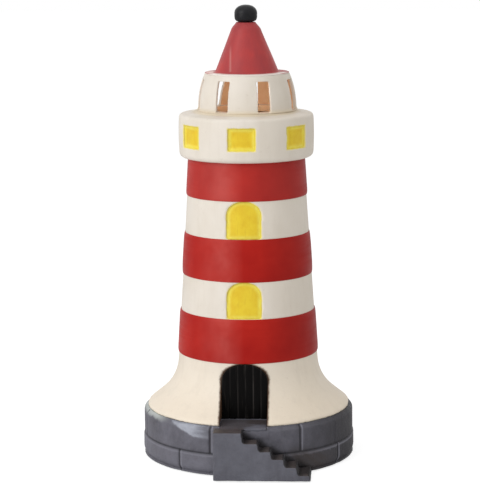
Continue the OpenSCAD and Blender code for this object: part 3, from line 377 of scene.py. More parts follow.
FINISHES = {
    "plate_black": moulded("plate_black_plastic", (44, 44, 46), (36, 36, 38)),
    "foam_grey": moulded("pad_grey_foam", (60, 60, 62), (48, 48, 50), 0.9, 0.7, 0.25),
    "bush_rubber": moulded("bush_black_rubber", (38, 38, 38), (50, 50, 50), 0.65, 0.8, 0.04),
    "zinc_steel": metal("steel_zinc_plated", (190, 192, 196), (160, 162, 168), 0.32),
    "brass_parts": metal("brass_turned", (214, 178, 96), (188, 150, 74), 0.26, (1.0, 1.0, 3.0)),
    "contact_bronze": metal("contact_spring_bronze", (206, 150, 96), (180, 124, 78), 0.28),
    "holder_dark": moulded("holder_dark_bakelite", (46, 38, 35), (36, 30, 28), 0.28, 2.0, 0.02),
    "insert_ceramic": moulded("insert_white_ceramic", (234, 230, 220), (224, 218, 206), 0.35, 1.0, 0.02),
    "cap_metal": metal("cap_nickel_plated", (204, 202, 196), (176, 174, 168), 0.24),
    "insulator_glass": moulded("insulator_black_glass", (22, 23, 28), (30, 31, 36), 0.12, 3.0, 0.01),
    "bulb_clear": clear("bulb_clear_glass", (250, 250, 248)),
    "stem_clear": clear("stem_clear_glass", (240, 244, 244), 0.06),
    "strip_amber": moulded("strip_amber_phosphor", (236, 200, 96), (224, 180, 74), 0.5, 0.6, 0.02),
    "block_white": moulded("block_white_nylon", (232, 228, 216), (220, 214, 200), 0.5, 1.0, 0.03),
    "lead_brown": moulded("lead_brown_sleeve", (122, 74, 42), (104, 62, 36), 0.4, 1.5, 0.02),
    "lead_blue": moulded("lead_blue_sleeve", (58, 98, 168), (48, 84, 150), 0.4, 1.5, 0.02),
}
print("plain finishes:", len(FINISHES))

# %% [markdown]
# ## Growing shapes with Geometry Nodes
# Several pieces follow a rule: turned pieces are one outline swept round the axis, screws and windows
# are one shape repeated. For each rule a tree is built once, with named inputs, and used with other
# sizes for other pieces. An input is set through its socket's identifier before the object is first
# evaluated. The result is then made a plain mesh, because a finished piece carries no live tree.


# %% Tree helpers
def start_tree(name, *inputs):
    graph = Graph(bpy.data.node_groups.new(name, "GeometryNodeTree"))
    socket = graph.tree.interface.new_socket
    socket("Geometry", in_out="INPUT", socket_type="NodeSocketGeometry")
    for title, kind in inputs + (("Material", "Material"),):
        socket(title, in_out="INPUT", socket_type="NodeSocket" + kind)
    socket("Geometry", in_out="OUTPUT", socket_type="NodeSocketGeometry")
    return graph, graph.add("NodeGroupInput").outputs


def end_tree(graph, geometry, given):
    real = graph.out("GeometryNodeRealizeInstances", {0: geometry})
    smooth = graph.out("GeometryNodeSetShadeSmooth", {0: real})
    dressed = graph.out("GeometryNodeSetMaterial", {0: smooth, "Material": given["Material"]})
    graph.add("NodeGroupOutput", {0: dressed})
    print("tree:", graph.tree.name)
    return graph.tree


def make_plain(obj):
    graph = bpy.context.evaluated_depsgraph_get()
    mesh = bpy.data.meshes.new_from_object(obj.evaluated_get(graph), preserve_all_data_layers=True,
                                           depsgraph=graph)
    obj.modifiers.clear()
    obj.data = mesh
    mesh.name = obj.name
    return obj


def grow(obj, tree, **values):
    modifier = obj.modifiers.new(tree.name, "NODES")
    modifier.node_group = tree
    for item in tree.interface.items_tree:
        key = item.name.lower().replace(" ", "_")
        if item.in_out == "INPUT" and key in values:
            modifier[item.identifier] = values[key]
    return make_plain(obj)


def new_object(name, data):
    obj = bpy.data.objects.new(name, data)
    scene.collection.objects.link(obj)
    return obj


def new_piece(name, verts, edges=(), faces=()):
    mesh = bpy.data.meshes.new(name)
    mesh.from_pydata([tuple(v) for v in verts], edges, faces)
    return new_object(name, mesh)


# %% [markdown]
# ## The hand-cast skin
# A real casting has no dead-straight wall: its skin swells and dips by a tenth or two of a millimetre,
# and its edges are a little rubbed. This tree moves each point along its normal by a slow noise with a
# fixed seed. It then measures the fold at each edge: a ridge is stored as a mark of rubbed wear and
# painted edge highlight, and a crease as a mark of dust and painted shade, and the paints above read
# both. Reading folds from the mesh finds every rim by itself.


# %% Skin tree
graph, given = start_tree("Hand-cast skin", ("Waver", "Float"), ("Inset", "Float"), ("Lump Size", "Vector"),
                          ("Seed", "Float"), ("Edge Gain", "Float"))
stretched = graph.out("ShaderNodeVectorMath", {0: graph.position(), 1: given["Lump Size"]},
                      operation="DIVIDE")
swell = graph.out("ShaderNodeTexNoise", {"Vector": stretched, "W": given["Seed"], "Scale": 1.0,
                                         "Detail": 2.0}, noise_dimensions="4D")
amount = graph.times(graph.minus(swell, 0.5), graph.times(given["Waver"], 2.0))
push = graph.scaled(graph.out("GeometryNodeInputNormal"), graph.minus(amount, given["Inset"]))
skinned = graph.out("GeometryNodeSetPosition", {0: given["Geometry"], "Offset": push})
for attribute, sign in (("worn_edge", 1.0), ("hollow", -1.0)):
    fold = graph.add("GeometryNodeInputMeshEdgeAngle").outputs[1]
    soft = graph.out("GeometryNodeBlurAttribute", {0: fold, "Iterations": 2})
    strength = graph.times(soft, graph.times(given["Edge Gain"], sign))
    level = graph.clamp(graph.minus(strength, 0.15))
    skinned = graph.out("GeometryNodeStoreNamedAttribute", {0: skinned, "Name": attribute, "Value": level})
skin_tree = end_tree(graph, skinned, given)

# %% [markdown]
# ## Turned pieces
# The bands, the roof, the ball and the glass are all a profile turned round the axis. The profile is a
# thin line of points at its radius and height. The tree reads those points onto a flat grid, bends the
# grid round into a full turn, and merges the seam and the points on the axis so the skin is closed.

# %% Turning tree
TOUCHING = 1e-6
graph, given = start_tree("Turned piece", ("Sides", "Int"))
rows = graph.out("GeometryNodeAttributeDomainSize", {0: given["Geometry"]})
sheet = graph.out("GeometryNodeMeshGrid", {0: 1.0, 1: 1.0, 2: graph.plus(given["Sides"], 1.0), 3: rows})
flat_x, flat_y, _ = graph.parts(graph.position())
angle = graph.times(graph.plus(flat_x, 0.5), 2 * pi)
row = graph.maths("ROUND", graph.times(graph.plus(flat_y, 0.5), graph.minus(rows, 1.0)))
line_place = graph.out("GeometryNodeSampleIndex", {0: given["Geometry"], "Value": graph.position(),
                                                   "Index": row}, data_type="FLOAT_VECTOR")
line_r, _, line_z = graph.parts(line_place)
turned_x, turned_y = (graph.times(line_r, graph.maths(way, angle)) for way in ("COSINE", "SINE"))
bent = graph.out("GeometryNodeSetPosition", {0: sheet, "Position": graph.joined(turned_x, turned_y, line_z)})
closed = graph.out("GeometryNodeMergeByDistance", {0: bent, "Distance": TOUCHING})
turning_tree = end_tree(graph, closed, given)


# %% Turning and skin helpers
def dense(points, step):
    """The same outline with no stretch longer than the step, both in millimetres."""
    out = [points[0]]
    for (r0, z0), (r1, z1) in zip(points, points[1:]):
        count = max(1, ceil(hypot(r1 - r0, z1 - z0) / step))
        out += [(r0 + (r1 - r0) * i / count, z0 + (z1 - z0) * i / count) for i in range(1, count + 1)]
    return out


def arc(r, z, radius, start, end, steps):
    turns = [radians(start + (end - start) * i / steps) for i in range(steps + 1)]
    return [(r + radius * cos(t), z + radius * sin(t)) for t in turns]


def edit(obj, work):
    """A piece whose mesh has been through one function of bmesh."""
    shell = bmesh.new()
    shell.from_mesh(obj.data)
    work(shell)
    shell.to_mesh(obj.data)
    shell.free()
    return obj


def outward(obj):
    """Faces of a closed shell turned to point out."""
    return edit(obj, lambda shell: bmesh.ops.recalc_face_normals(shell, faces=shell.faces))


def turned(name, outline_mm, material, sides=192, step=1.2):
    """A piece turned from its outline. One that starts away from the axis is a ring's, and is closed."""
    back_to_start = outline_mm[:1] if outline_mm[0][0] > 0 else []
    points = dense(outline_mm + back_to_start, step)
    verts = [(r * MM, 0, z * MM) for r, z in points]
    line = new_piece(name, verts, [(i, i + 1) for i in range(len(verts) - 1)])
    return outward(grow(line, turning_tree, sides=sides, material=material))


def skin(obj, material, waver_mm, lump_mm, seed, gain=1.6, inset_mm=0.0):
    lump = lump_mm if isinstance(lump_mm, tuple) else (lump_mm,) * 3
    return grow(obj, skin_tree, waver=waver_mm * MM, inset=inset_mm * MM, seed=float(seed), edge_gain=gain,
                lump_size=tuple(size * MM for size in lump), material=material)


def hand_over(obj, body, slot, *nodes):
    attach(obj, body)
    if nodes:
        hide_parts(*nodes)
    print(obj.name, "rides", body, "with", len(obj.data.polygons), "faces")
    return obj


# %% [markdown]
# ## Reading and marking points
# Some marks need more than a noise: paint that ran over an edge, a chip, dirt beside a step. For those
# the script reads every point of a piece as millimetres, works out where it lies, and stores a number
# between 0 and 1 on it. The paints above lay their coats by those marks.


# %% Point helpers
def numbers(data, name, width=1):
    """One property of every point, a row for each."""
    flat = np.zeros(len(data) * width, np.float32)
    data.foreach_get(name, flat)
    return flat.reshape(-1, width).astype(float)


def points_of(obj):
    return numbers(obj.data.vertices, "co", 3) / MM


def normals_of(obj):
    return numbers(obj.data.vertices, "normal", 3)


def mark_of(obj, name):
    return numbers(obj.data.attributes[name].data, "value")[:, 0]


def read(obj):
    """The points in millimetres, their x, y and z as views of them, and where they lie round the axis: how
    far from it, and the turn from the door in degrees, positive towards the stairs' foot."""
    spots = points_of(obj)
    x, y, z = spots.T
    return spots, x, y, z, np.hypot(x, y), np.degrees(np.arctan2(x, -y))


def move_points(obj, points_mm):
    obj.data.vertices.foreach_set("co", (points_mm * MM).astype(np.float32).ravel())
    obj.data.update()


def store(obj, name, values):
    attribute = obj.data.attributes.get(name) or obj.data.attributes.new(name, "FLOAT", "POINT")
    attribute.data.foreach_set("value", np.clip(values, 0, 1).astype(np.float32))


def step_up(values, start, end):
    share = np.clip((values - start) / (end - start), 0, 1)
    return share * share * (3 - 2 * share)


def line_at(distance, width):
    """1 on a line and 0 away from it, in a soft bell of this width."""
    return np.exp(-(distance / width) ** 2)


def uneven(values, seed):
    """A slow wave between -1 and 1 along the values, for edges that a brush has drawn."""
    waves = np.sin(values * 0.9 + seed) + 0.6 * np.sin(values * 2.3 + seed * 3) + 0.3 * np.sin(values * 5.1)
    return waves / 1.9


# %% [markdown]
# ## Red bands, roof and ball
# A band is a sleeve on the tapering wall, 0.8 mm proud and rounded off above and below. The roof
# is a smooth cone on a thin flat rim, with a rounded shoulder under the ball. The ball is a little
# square, as a knob dipped in thick paint is. All five are turned from their outlines and then skinned.
# The lantern room and the roof were set on by hand, so they stand most of a millimetre to the right.

# %% Heights and radii of the tower
DECK, FLARE, GALLERY, LANTERN, ROOF = 34, 69, 207, 239, 263.7
CONE, BALL, BALL_HIGH = 264.5, 298.2, 11.8
FOOT_R, TOP_R, SET_ASIDE = 48.1, 39.3, 0.8
BANDS = {"band_lower": (72, 102), "band_middle": (126.9, 155.7), "band_upper": (181.1, 207)}


def tower_radius(z):
    return FOOT_R - (z - FLARE) * (FOOT_R - TOP_R) / (GALLERY - FLARE)


print("tower wall:", FOOT_R, "mm at the flare and", TOP_R, "mm under the gallery")


# %% Bands
BAND_PROUD, BAND_FIT, BAND_STEPS = 0.8, 0.1, 40
BULGE = {"band_lower": 12, "band_middle": 3.2, "band_upper": 10}
for seed, (name, (foot, head)) in enumerate(BANDS.items()):
    outline_mm = [(tower_radius(head) + BAND_FIT, head), (tower_radius(foot) + BAND_FIT, foot)]
    for i in range(BAND_STEPS + 1):
        share = sin(pi / 2 * (2 * i / BAND_STEPS - 1))
        proud = BAND_FIT + (BAND_PROUD - BAND_FIT) * (1 - abs(share) ** BULGE[name]) ** 0.5
        level = foot + (head - foot) * (share + 1) / 2
        outline_mm.append((tower_radius(level) + proud, level))
    band = turned(name + "_sleeve", outline_mm, band_paint)
    hand_over(skin(band, band_paint, 0.10, 16, 3 + seed, gain=1.2), "tower", "band_red", name)

# %% Roof and ball
RIM_R, CONE_R, SHOULDER_R, NECK_R, SPIGOT_R, INNER_R = 28.7, 21.6, 10.5, 6.6, 26.2, 19.4
CONE_INSIDE = BALL - 7.4
roof_line = ([(SPIGOT_R, ROOF - 2), (SPIGOT_R, ROOF), (RIM_R - 0.3, ROOF)]
             + arc(RIM_R - 0.3, ROOF + 0.3, 0.3, -60, 0, 2) + arc(RIM_R - 0.3, CONE - 0.3, 0.3, 0, 90, 3)
             + [(CONE_R + 1.0, CONE), (CONE_R + 0.3, CONE + 0.25), (CONE_R - 0.2, CONE + 0.9)]
             + [(SHOULDER_R + 0.1, BALL - 6.2), (SHOULDER_R - 0.3, BALL - 5.0), (9.6, BALL - 3.8),
                (8.7, BALL - 2.6), (7.6, BALL - 1.4), (NECK_R + 0.2, BALL - 0.4), (NECK_R, BALL)]
             + [(2.5, BALL), (2.5, CONE_INSIDE), (SHOULDER_R - 2.2, CONE_INSIDE), (INNER_R, ROOF),
                (INNER_R, ROOF - 2)])
roof = skin(turned("roof_cone", roof_line, roof_paint, sides=224, step=1.0), roof_paint, 0.16, (9, 9, 26), 11,
            gain=1.0)
spots, x, y, z, far, turned_by = read(roof)
# Painted highlights on the roof: a pale reflection on the flat rim at the left, and a thin glint line down
# the cone left of its middle.
on_rim = (z > CONE - 0.5) & (z < CONE + 0.3) & (far > CONE_R + 1.2) & (far < RIM_R - 0.7)
glint_line = 0.2 * line_at(x + 10.2, 0.6) * (y < 0) * (z > CONE + 1) * step_up(z, CONE + 20, CONE + 12)
store(roof, "thin_paint", np.maximum(on_rim * step_up(np.abs(turned_by + 82), 34, 22), glint_line))
aside = step_up(np.abs(turned_by - 13 + uneven(turned_by * 0.3, 3) * 3), 66, 84)
red_to = CONE_R + 0.7 + (RIM_R - CONE_R - 1.0) * aside
below = z < CONE - 0.25
lip_red = (far > RIM_R - 0.5) * step_up(np.abs(turned_by), 48, 62)
on_lip = step_up(far, red_to, red_to + 0.6) * (1 - lip_red)
store(roof, "cream_over", np.where(below, far > SPIGOT_R + 0.5, on_lip))
x += SET_ASIDE * np.interp(z, (CONE, BALL), (1, 0.4))
move_points(roof, spots)
hand_over(roof, "tower", "roof_red", "roof")

BALL_R, LOW_SQUARE, HIGH_SQUARE, BALL_STEPS = 7.8, 4.2, 2.15, 40
ball_line = [(0, BALL - 5), (2.4, BALL - 5), (2.4, BALL)]
for i in range(1, BALL_STEPS + 1):
    a = radians(-90 + 180 * i / BALL_STEPS)
    square = LOW_SQUARE if a < 0 else HIGH_SQUARE
    across = abs(cos(a)) ** (2 / square) if i < BALL_STEPS else 0.0
    up = copysign(abs(sin(a)) ** (2 / square), a)
    ball_line.append((BALL_R * across, BALL + BALL_HIGH / 2 * (1 + up)))
ball = turned("ball_knob", ball_line, ball_paint, sides=96, step=0.8)
skin(ball, ball_paint, 0.12, 5, 21, gain=0.8, inset_mm=0.05)
move_points(ball, points_of(ball) + np.array([SET_ASIDE * 0.4, 0, 0]))
hand_over(ball, "tower", "ball_black", "finial_ball")

# %% [markdown]
# ## Castings with openings
# The tower, gallery, lantern room, base and stairs are cut through by windows, doors and joints. The
# engineering solids already have those openings in the right places, but with knife-sharp edges. A
# voxel remesh pours the same shape again from tiny cubes, and a few rounds of smoothing melt every
# edge a little, which is what a rubber mould and paint do. The remesh only copies the solid, so each
# wall stays where it was. The two largest castings are thinned at the end, once their marks are on.


# %% Cast copies
def cast_copy(node, name, voxel_mm, rounds):
    """A remeshed copy of one engineering solid, with its edges softened."""
    obj = new_object(name, frame["nodes"][node].data.copy())
    edit(obj, lambda shell: bmesh.ops.remove_doubles(shell, verts=shell.verts, dist=TOUCHING))
    remesh = obj.modifiers.new("pour", "REMESH")
    remesh.mode, remesh.voxel_size = "VOXEL", voxel_mm * MM
    melt = obj.modifiers.new("melt", "SMOOTH")
    melt.factor, melt.iterations = 0.5, rounds
    return make_plain(obj)


KEPT_SHARE = 0.66


def thin_out(obj):
    """The same piece with fewer faces. Those that go are the ones that bend its surface least."""
    thin = obj.modifiers.new("thin", "DECIMATE")
    thin.ratio = KEPT_SHARE
    return make_plain(obj)


# %% Tower shell
DOOR_W, DOOR_H, DOOR_RISE, DOOR_FACE = 31.3, 37.6, 11, 47.9
WINDOW_W, WINDOW_RISE = 23, 9.5
WINDOWS = {"window_lower": (102, 24.9), "window_upper": (155.7, 25.4)}
tower = skin(cast_copy("tower_shell", "tower_casting", 1.0, 5), tower_paint, 0.16, (17, 17, 34), 31)
spots, x, y, z, far, _ = read(tower)
wall_r = np.where(z > FLARE, tower_radius(z), 0)
store(tower, "bare_inside", (z > FLARE) * step_up(far, wall_r - 1.0, wall_r - 1.8))


def arch_gap(x, z, width, foot, height, rise):
    """Distance in millimetres outside an arched opening, negative inside it."""
    spring = foot + height - rise
    above = np.hypot(x / (width / 2), np.maximum(z - spring, 0) / rise)
    return np.where(z > spring, (above - 1) * (width + rise * 2) / 4, np.abs(x) - width / 2)


gap = arch_gap(x, z, DOOR_W, DECK, DOOR_H, DOOR_RISE)
in_doorway = (y < -DOOR_FACE + 4) & (z < DECK + DOOR_H + 3)
drawn = uneven(z, 1.0) * 0.25
store(tower, "brown_line", in_doorway * step_up(gap + drawn, 1.7, 0.5))
spill = np.zeros(len(spots))
for foot, height in WINDOWS.values():
    gap = arch_gap(x, z, WINDOW_W, foot, height, WINDOW_RISE)
    level = (z > foot) & (z < foot + height) & (y < 0) & (far > wall_r - 2.2)
    spill = np.maximum(spill, level * step_up(gap + uneven(z, 2.0) * 0.3, 0.8, 0.1))
store(tower, "yellow_line", spill)
hand_over(thin_out(tower), "tower", "tower_white", "tower_shell")

# %% [markdown]
# The gallery and the lantern room are the same kind of casting in a finer grain. Whatever lies behind
# their outer line is bare clay, and that is what glows tan through the open slots of the lantern room.
# The slots' own sides are white. The slot at the back left was cut further round than the others, more
# so at its top, and a wedge of daylight shows through it in the slot before it.

# %% Gallery and lantern room
gallery = skin(cast_copy("gallery", "gallery_casting", 0.62, 4), tower_paint, 0.14, 14, 41)
*_, z, far, turned_by = read(gallery)
inside = (z > GALLERY + 1.5) & (z < LANTERN - 3)
BAYS, BAY_TURN, BAY_Z, BAY_W, BAY_H, PANE_R, WELL_R = 7, -0.9, 223.0, 18.4, 15.0, 44.9, 27.6
store(gallery, "bare_inside", (inside | (far < WELL_R)) * step_up(far, PANE_R - 0.6, PANE_R - 1.5))
from_bay = (turned_by - BAY_TURN + 180 / BAYS) % (360 / BAYS) - 180 / BAYS
sideways = np.abs(far * np.sin(np.radians(from_bay))) - BAY_W / 2
gap = np.maximum(sideways, np.abs(z - BAY_Z) - BAY_H / 2)
drawn = uneven(z + turned_by, 4.0) * 0.25
store(gallery, "yellow_line", (far > PANE_R - 0.8) * step_up(gap + drawn, 0.7, 0.1))
# Painted shade on the gallery top, in the cove round the lantern room's foot.
store(gallery, "filler", (z > LANTERN - 2) * step_up(far, 38.5, 35.0) * 0.8)
store(gallery, "brown_line", (z > LANTERN - 3) * (far < 32) * 0.35)
hand_over(gallery, "tower", "tower_white", "gallery")

LANTERN_FOOT, LANTERN_TOP, LANTERN_CURVE, LANTERN_WALL = 33.6, 28.9, 2.2, 2.4
lantern = skin(cast_copy("lantern_room", "lantern_casting", 0.45, 4), tower_paint, 0.12, 9, 51)
spots, x, y, z, far, turned_by = read(lantern)
rise_share = np.clip((z - LANTERN) / (ROOF - LANTERN), 0, 1)
wall_r = LANTERN_FOOT - (LANTERN_FOOT - LANTERN_TOP) * rise_share ** LANTERN_CURVE
faces_to = normals_of(lantern)
faces_in = -(faces_to[:, 0] * x + faces_to[:, 1] * y) / far
deep = step_up(far, wall_r - 0.5 * LANTERN_WALL, wall_r - 0.8 * LANTERN_WALL)
store(lantern, "bare_inside", deep * step_up(faces_in, 0.3, 0.8))
foot_share = step_up(z, LANTERN + 2.0, LANTERN + 0.2) * (far > wall_r - 1.2)
# Painted shade low on the lantern room, in the cove at its foot.
store(lantern, "filler", step_up(z, LANTERN + 3.0, LANTERN + 0.6) * 0.7)
BACK_SLOT = -130.8
swing = (1.4 + 6.4 * rise_share) * step_up(np.abs(turned_by - BACK_SLOT), 24, 10)
swung, reach = np.radians(turned_by - swing), far + 0.8 * foot_share
x[:] = reach * np.sin(swung) + SET_ASIDE
y[:] = -reach * np.cos(swung)
z -= 0.35 * foot_share
move_points(lantern, spots)
hand_over(lantern, "tower", "tower_white", "lantern_room")

# %% [markdown]
# ## Windows
# An arched pane sits a little below the wall, and its edge is pushed into the wall's paint. The two
# arched panes are cast copies. The seven gallery panes are one cast copy repeated, which is a job for
# Geometry Nodes: a ring of places goes in, a copy is set on each place and turned to face outwards.


# %% Copies tree
graph, given = start_tree("Copies on places", ("Piece", "Object"), ("Turn Outwards", "Float"))
pattern = graph.add("GeometryNodeObjectInfo", {0: given["Piece"]}).outputs["Geometry"]
spot_x, spot_y, _ = graph.parts(graph.position())
facing = graph.plus(graph.maths("ARCTAN2", spot_y, spot_x), pi / 2)
spin = graph.joined(0.0, 0.0, graph.times(facing, given["Turn Outwards"]))
rotation = graph.out("FunctionNodeEulerToRotation", {0: spin})
copies = graph.out("GeometryNodeInstanceOnPoints", {0: given["Geometry"], "Instance": pattern,
                                                    "Rotation": rotation})
copies_tree = end_tree(graph, copies, given)


def copies_on(name, pattern_piece, places_mm, material, turn_outwards):
    ring = new_piece(name, [tuple(c * MM for c in p) for p in places_mm])
    grow(ring, copies_tree, piece=pattern_piece, turn_outwards=turn_outwards, material=material)
    bpy.data.objects.remove(pattern_piece)
    return ring


def around(radius, turns, z):
    """Places on a ring, each at a turn from the door in degrees."""
    return [(radius * sin(radians(t)), -radius * cos(radians(t)), z) for t in turns]


# %% Arched windows
def spread(x, z, amount, middle_z, width, height):
    """A pane's points pushed away from its middle, in its own plane."""
    x += amount * np.clip(x / (width / 2), -1, 1)
    z += amount * np.clip((z - middle_z) / (height / 2), -1, 1)


for name, (foot, height) in WINDOWS.items():
    pane = skin(cast_copy(name, name + "_pane", 0.45, 3), window_paint, 0.10, 5, 61 + height, gain=0.6)
    spots, x, y, z, far, _ = read(pane)
    wall_r = tower_radius(z)
    rim_gap = np.maximum(arch_gap(x, z, WINDOW_W, foot, height, WINDOW_RISE), foot - z)
    store(pane, "pane_rim", step_up(rim_gap, -3.4, -1.0))
    # Painted shade along the upper left of the rim, under the wall's edge.
    upper_left = step_up(x - (z - foot - height * 0.8), 3, -5)
    store(pane, "pane_shade", 0.34 * upper_left * step_up(np.abs(rim_gap + 0.5), 0.9, 0.2))
    store(pane, "bare_inside", step_up(far, wall_r - 2.6, wall_r - 3.4))
    at_front = 0.4 * (far > wall_r - 2.2) * step_up(rim_gap, -1.0, -0.2)
    spread(x, z, at_front, foot + height / 2, WINDOW_W, height)
    y -= at_front * 0.5
    move_points(pane, spots)
    hand_over(pane, "tower", "pane_yellow", name)

# %% Gallery windows
pane = cast_copy("gallery_pane_1", "one_pane", 0.4, 3)
spots, x, y, z, far, turned_by = read(pane)
to_front = np.radians(turned_by - BAY_TURN)
x[:] = far * np.sin(to_front)
y[:] = PANE_R - far * np.cos(to_front)
sunk = np.minimum(BAY_W / 2 - np.abs(x), BAY_H / 2 - np.abs(z - BAY_Z))
front = y < 1.2
y += np.where(front, 0.30 * step_up(sunk, 1.0, 4.0) - 0.30 * step_up(sunk, 2.4, 0.8), 0)
spread(x, z, 0.4 * front * step_up(sunk, 0.9, 0.2), BAY_Z, BAY_W, BAY_H)
move_points(pane, spots)
store(pane, "pane_rim", step_up(sunk, 3.4, 0.9))
# Painted shade along the left and top edges of the pane.
from_corner = np.minimum(BAY_W / 2 + x, BAY_H / 2 - (z - BAY_Z))
store(pane, "pane_shade", 0.3 * step_up(np.abs(from_corner - 0.5), 0.9, 0.2))
store(pane, "bare_inside", step_up(y, 1.2, 2.0))
panes = copies_on("gallery_panes", pane, around(PANE_R, [BAY_TURN + 360 / BAYS * i for i in range(BAYS)], 0),
                  window_paint, 1.0)
skin(panes, window_paint, 0.10, 5, 71, gain=0.6)
hand_over(panes, "tower", "pane_yellow", *(f"gallery_pane_{i + 1}" for i in range(BAYS)))

# %% [markdown]
# ## The plank door
# Six planks under an arch. The grooves are in the solid already, so the copy keeps them and each plank
# gets a slight lean of its own and long, shallow fibres that run up the door.

# %% Door
PLANKS = 6
door = cast_copy("door_leaf", "door_planks", 0.36, 2)
spots, x, y, z, *_ = read(door)
plank = np.clip(((x + DOOR_W / 2) / DOOR_W * PLANKS).astype(int), 0, PLANKS - 1)
centre = (plank + 0.5) / PLANKS * DOOR_W - DOOR_W / 2
crown = np.clip(1 - (np.abs(x - centre) / (DOOR_W / PLANKS / 2)) ** 2, 0, 1)
front = y < -DOOR_FACE + 1.2
lean = np.array([0.10, 0.0, 0.16, 0.04, 0.12, 0.02])[plank]
y += np.where(front, 0.25 * (1 - crown) + lean, 0)
move_points(door, spots)
skin(door, plank_stain, 0.16, (1.3, 3, 22), 81, gain=1.2)
# Painted highlight along each plank's lip, where its edge catches the light.
past_joint = x - (centre - DOOR_W / PLANKS / 2)
strong = np.array([0.1, 0.25, 0.45, 0.7, 0.8, 0.45])[plank]
store(door, "plank_lip", front * strong * line_at(past_joint - 0.7, 0.35))
hand_over(door, "tower", "door_black", "door_leaf")

# %% [markdown]
# ## The stone base
# Two courses of blocks with a worn bevel on top. After the remesh, the vertex positions are worked like
# clay: the joints are pressed in a little more, each block face gets its own slight tilt, the top edge
# is worn unevenly, and the block beside the door has lost a shallow chip.

# %% Base casting
UPPER_R, COURSE_Z, FLOOR_GAP, SKIRT_R = 72.8, 15.5, 0.8, 70
UPPER_JOINTS = (-18, 31.5, 83, 134, 185, 237, 288)
LOWER_JOINTS = (-37, 11, 59, 110, 161, 212, 264)
base = cast_copy("stone_base", "base_casting", 0.7, 2)
spots, x, y, z, far, turned_by = read(base)
outer = step_up(far, UPPER_R - 2.6, UPPER_R - 1.6) * step_up(z, FLOOR_GAP - 0.2, FLOOR_GAP + 0.8)


def from_joint(turns):
    """Way along the wall from the nearest joint, positive to its right, and which block this is."""
    ways = np.stack([((turned_by - t + 180) % 360 - 180) * pi / 180 * UPPER_R for t in turns])
    block = sum(((turned_by - t) % 360 > 180).astype(int) * (i + 1) for i, t in enumerate(turns))
    return np.take_along_axis(ways, np.abs(ways).argmin(0)[None], 0)[0], block


upper = z > COURSE_Z
gap_upper, block_upper = from_joint(UPPER_JOINTS)
gap_lower, block_lower = from_joint(LOWER_JOINTS)
gap = np.where(upper, gap_upper, gap_lower)
level_gap = z - COURSE_Z
pressed = np.maximum(line_at(gap, 0.8), 0.8 * line_at(level_gap, 0.8))
lit_lip = np.maximum(line_at(gap - 1.6, 0.5), 0.8 * line_at(level_gap + 1.6, 0.5))
block = np.where(upper, block_upper, block_lower + 40)
tilt = np.sin(block * 2.7) * 0.25 + np.sin(block * 5.1) * (z - 17) * 0.012
worn = 1.1 * step_up(z, DECK - 3.2, DECK - 0.4) * step_up(far, SKIRT_R + 0.6, SKIRT_R + 1.4)
worn *= 0.35 + 0.65 * (0.5 + 0.5 * np.sin(turned_by * 0.31 + np.sin(turned_by * 0.13) * 2.0))
edge_z = np.interp(turned_by, (-46, -43.5, -27.5, -18.5), (35.0, 32.8, 25.6, 25.2))
edge_z += uneven(turned_by, 6) * 0.3
chipped = step_up(z - edge_z, -0.3, 0.7) * step_up(turned_by, -46, -44) * step_up(turned_by, -18.6, -19.2)
chipped = chipped * (far > SKIRT_R + 0.4) * (z > COURSE_Z)
lower = step_up(z, COURSE_Z + 0.4, COURSE_Z - 0.4)
foot_round = 2.2 * step_up(z, 7.0, FLOOR_GAP) ** 2
inward = outer * (0.45 * pressed + 0.3 + 0.7 * lower + foot_round + tilt * (1 - pressed) * 0.5 + 0.5 * worn
                  + 0.5 * chipped)
seat = step_up(z, DECK - 8, DECK - 6) * (np.abs(x) < DOOR_W / 2 + 1.5) * (y < 0)
inward *= 1 - seat
spots[:, :2] *= ((far - inward) / np.maximum(far, 1))[:, None]
print("base: deepest press", round(float(inward.max()), 2), "mm over", len(spots), "points")


# %% Marks on the stone
RISERS, FIRST_DROP, DROP, WASH_HIGH = (-0.4, 10.2, 18.8, 27.4, 36.0, 44.6), 7.2, 5.36, 7.5
move_points(base, spots)
skin(base, slate_paint, 0.20, 10, 91, gain=2.0)
fuzzy = 1 - step_up(turned_by + 2.5 * uneven(z * 2.0, 7), -28, -20) * 0.75
store(base, "chip", chipped * fuzzy)
store(base, "hollow", mark_of(base, "hollow") * (1 - seat))
store(base, "joint", outer * (line_at(gap, 0.75) + 0.9 * line_at(level_gap, 0.7)))
# Painted highlights: light lips beside the joints, and the lower course lighter on the left.
low_left = 0.25 * lower * step_up(x, -6, -26)
store(base, "joint_light", outer * np.maximum(lit_lip * 0.9, low_left))
# Painted highlight on the worn top rim, on the left side only.
rim_depth = 3.4 + 1.2 * uneven(turned_by * 0.4, 8)
store(base, "pale_rim", 0.75 * (far > SKIRT_R - 0.5) * step_up(DECK - z, rim_depth, 0.6)
      * step_up(turned_by, -96, -88) * step_up(turned_by, -44, -60))
# Painted shadow beside each riser, where each step shades the wall and tread.
beside = np.zeros(len(spots))
for i, (riser_x, next_x) in enumerate(zip(RISERS, RISERS[1:])):
    tread_z = DECK - FIRST_DROP - i * DROP
    past = (x - riser_x) / (next_x - riser_x) + (z - tread_z) / WASH_HIGH
    near = step_up(x, riser_x - 0.5, riser_x + 0.5) * step_up(past, 1.1, 0.45)
    beside = np.maximum(beside, near)
store(base, "dark_wash", beside * (y < 0) * outer)
# Brown dirt with painted shade on the wall next to the lowest steps.
behind = step_up(x, 26, 36) * step_up(x, 64, 48) * step_up(z + 0.25 * x, 30, 22)
store(base, "brown_wash", behind * (y < 0) * outer * (0.8 + 0.2 * uneven(x + z, 9)))
hand_over(thin_out(base), "base", "stone_grey", "stone_base")

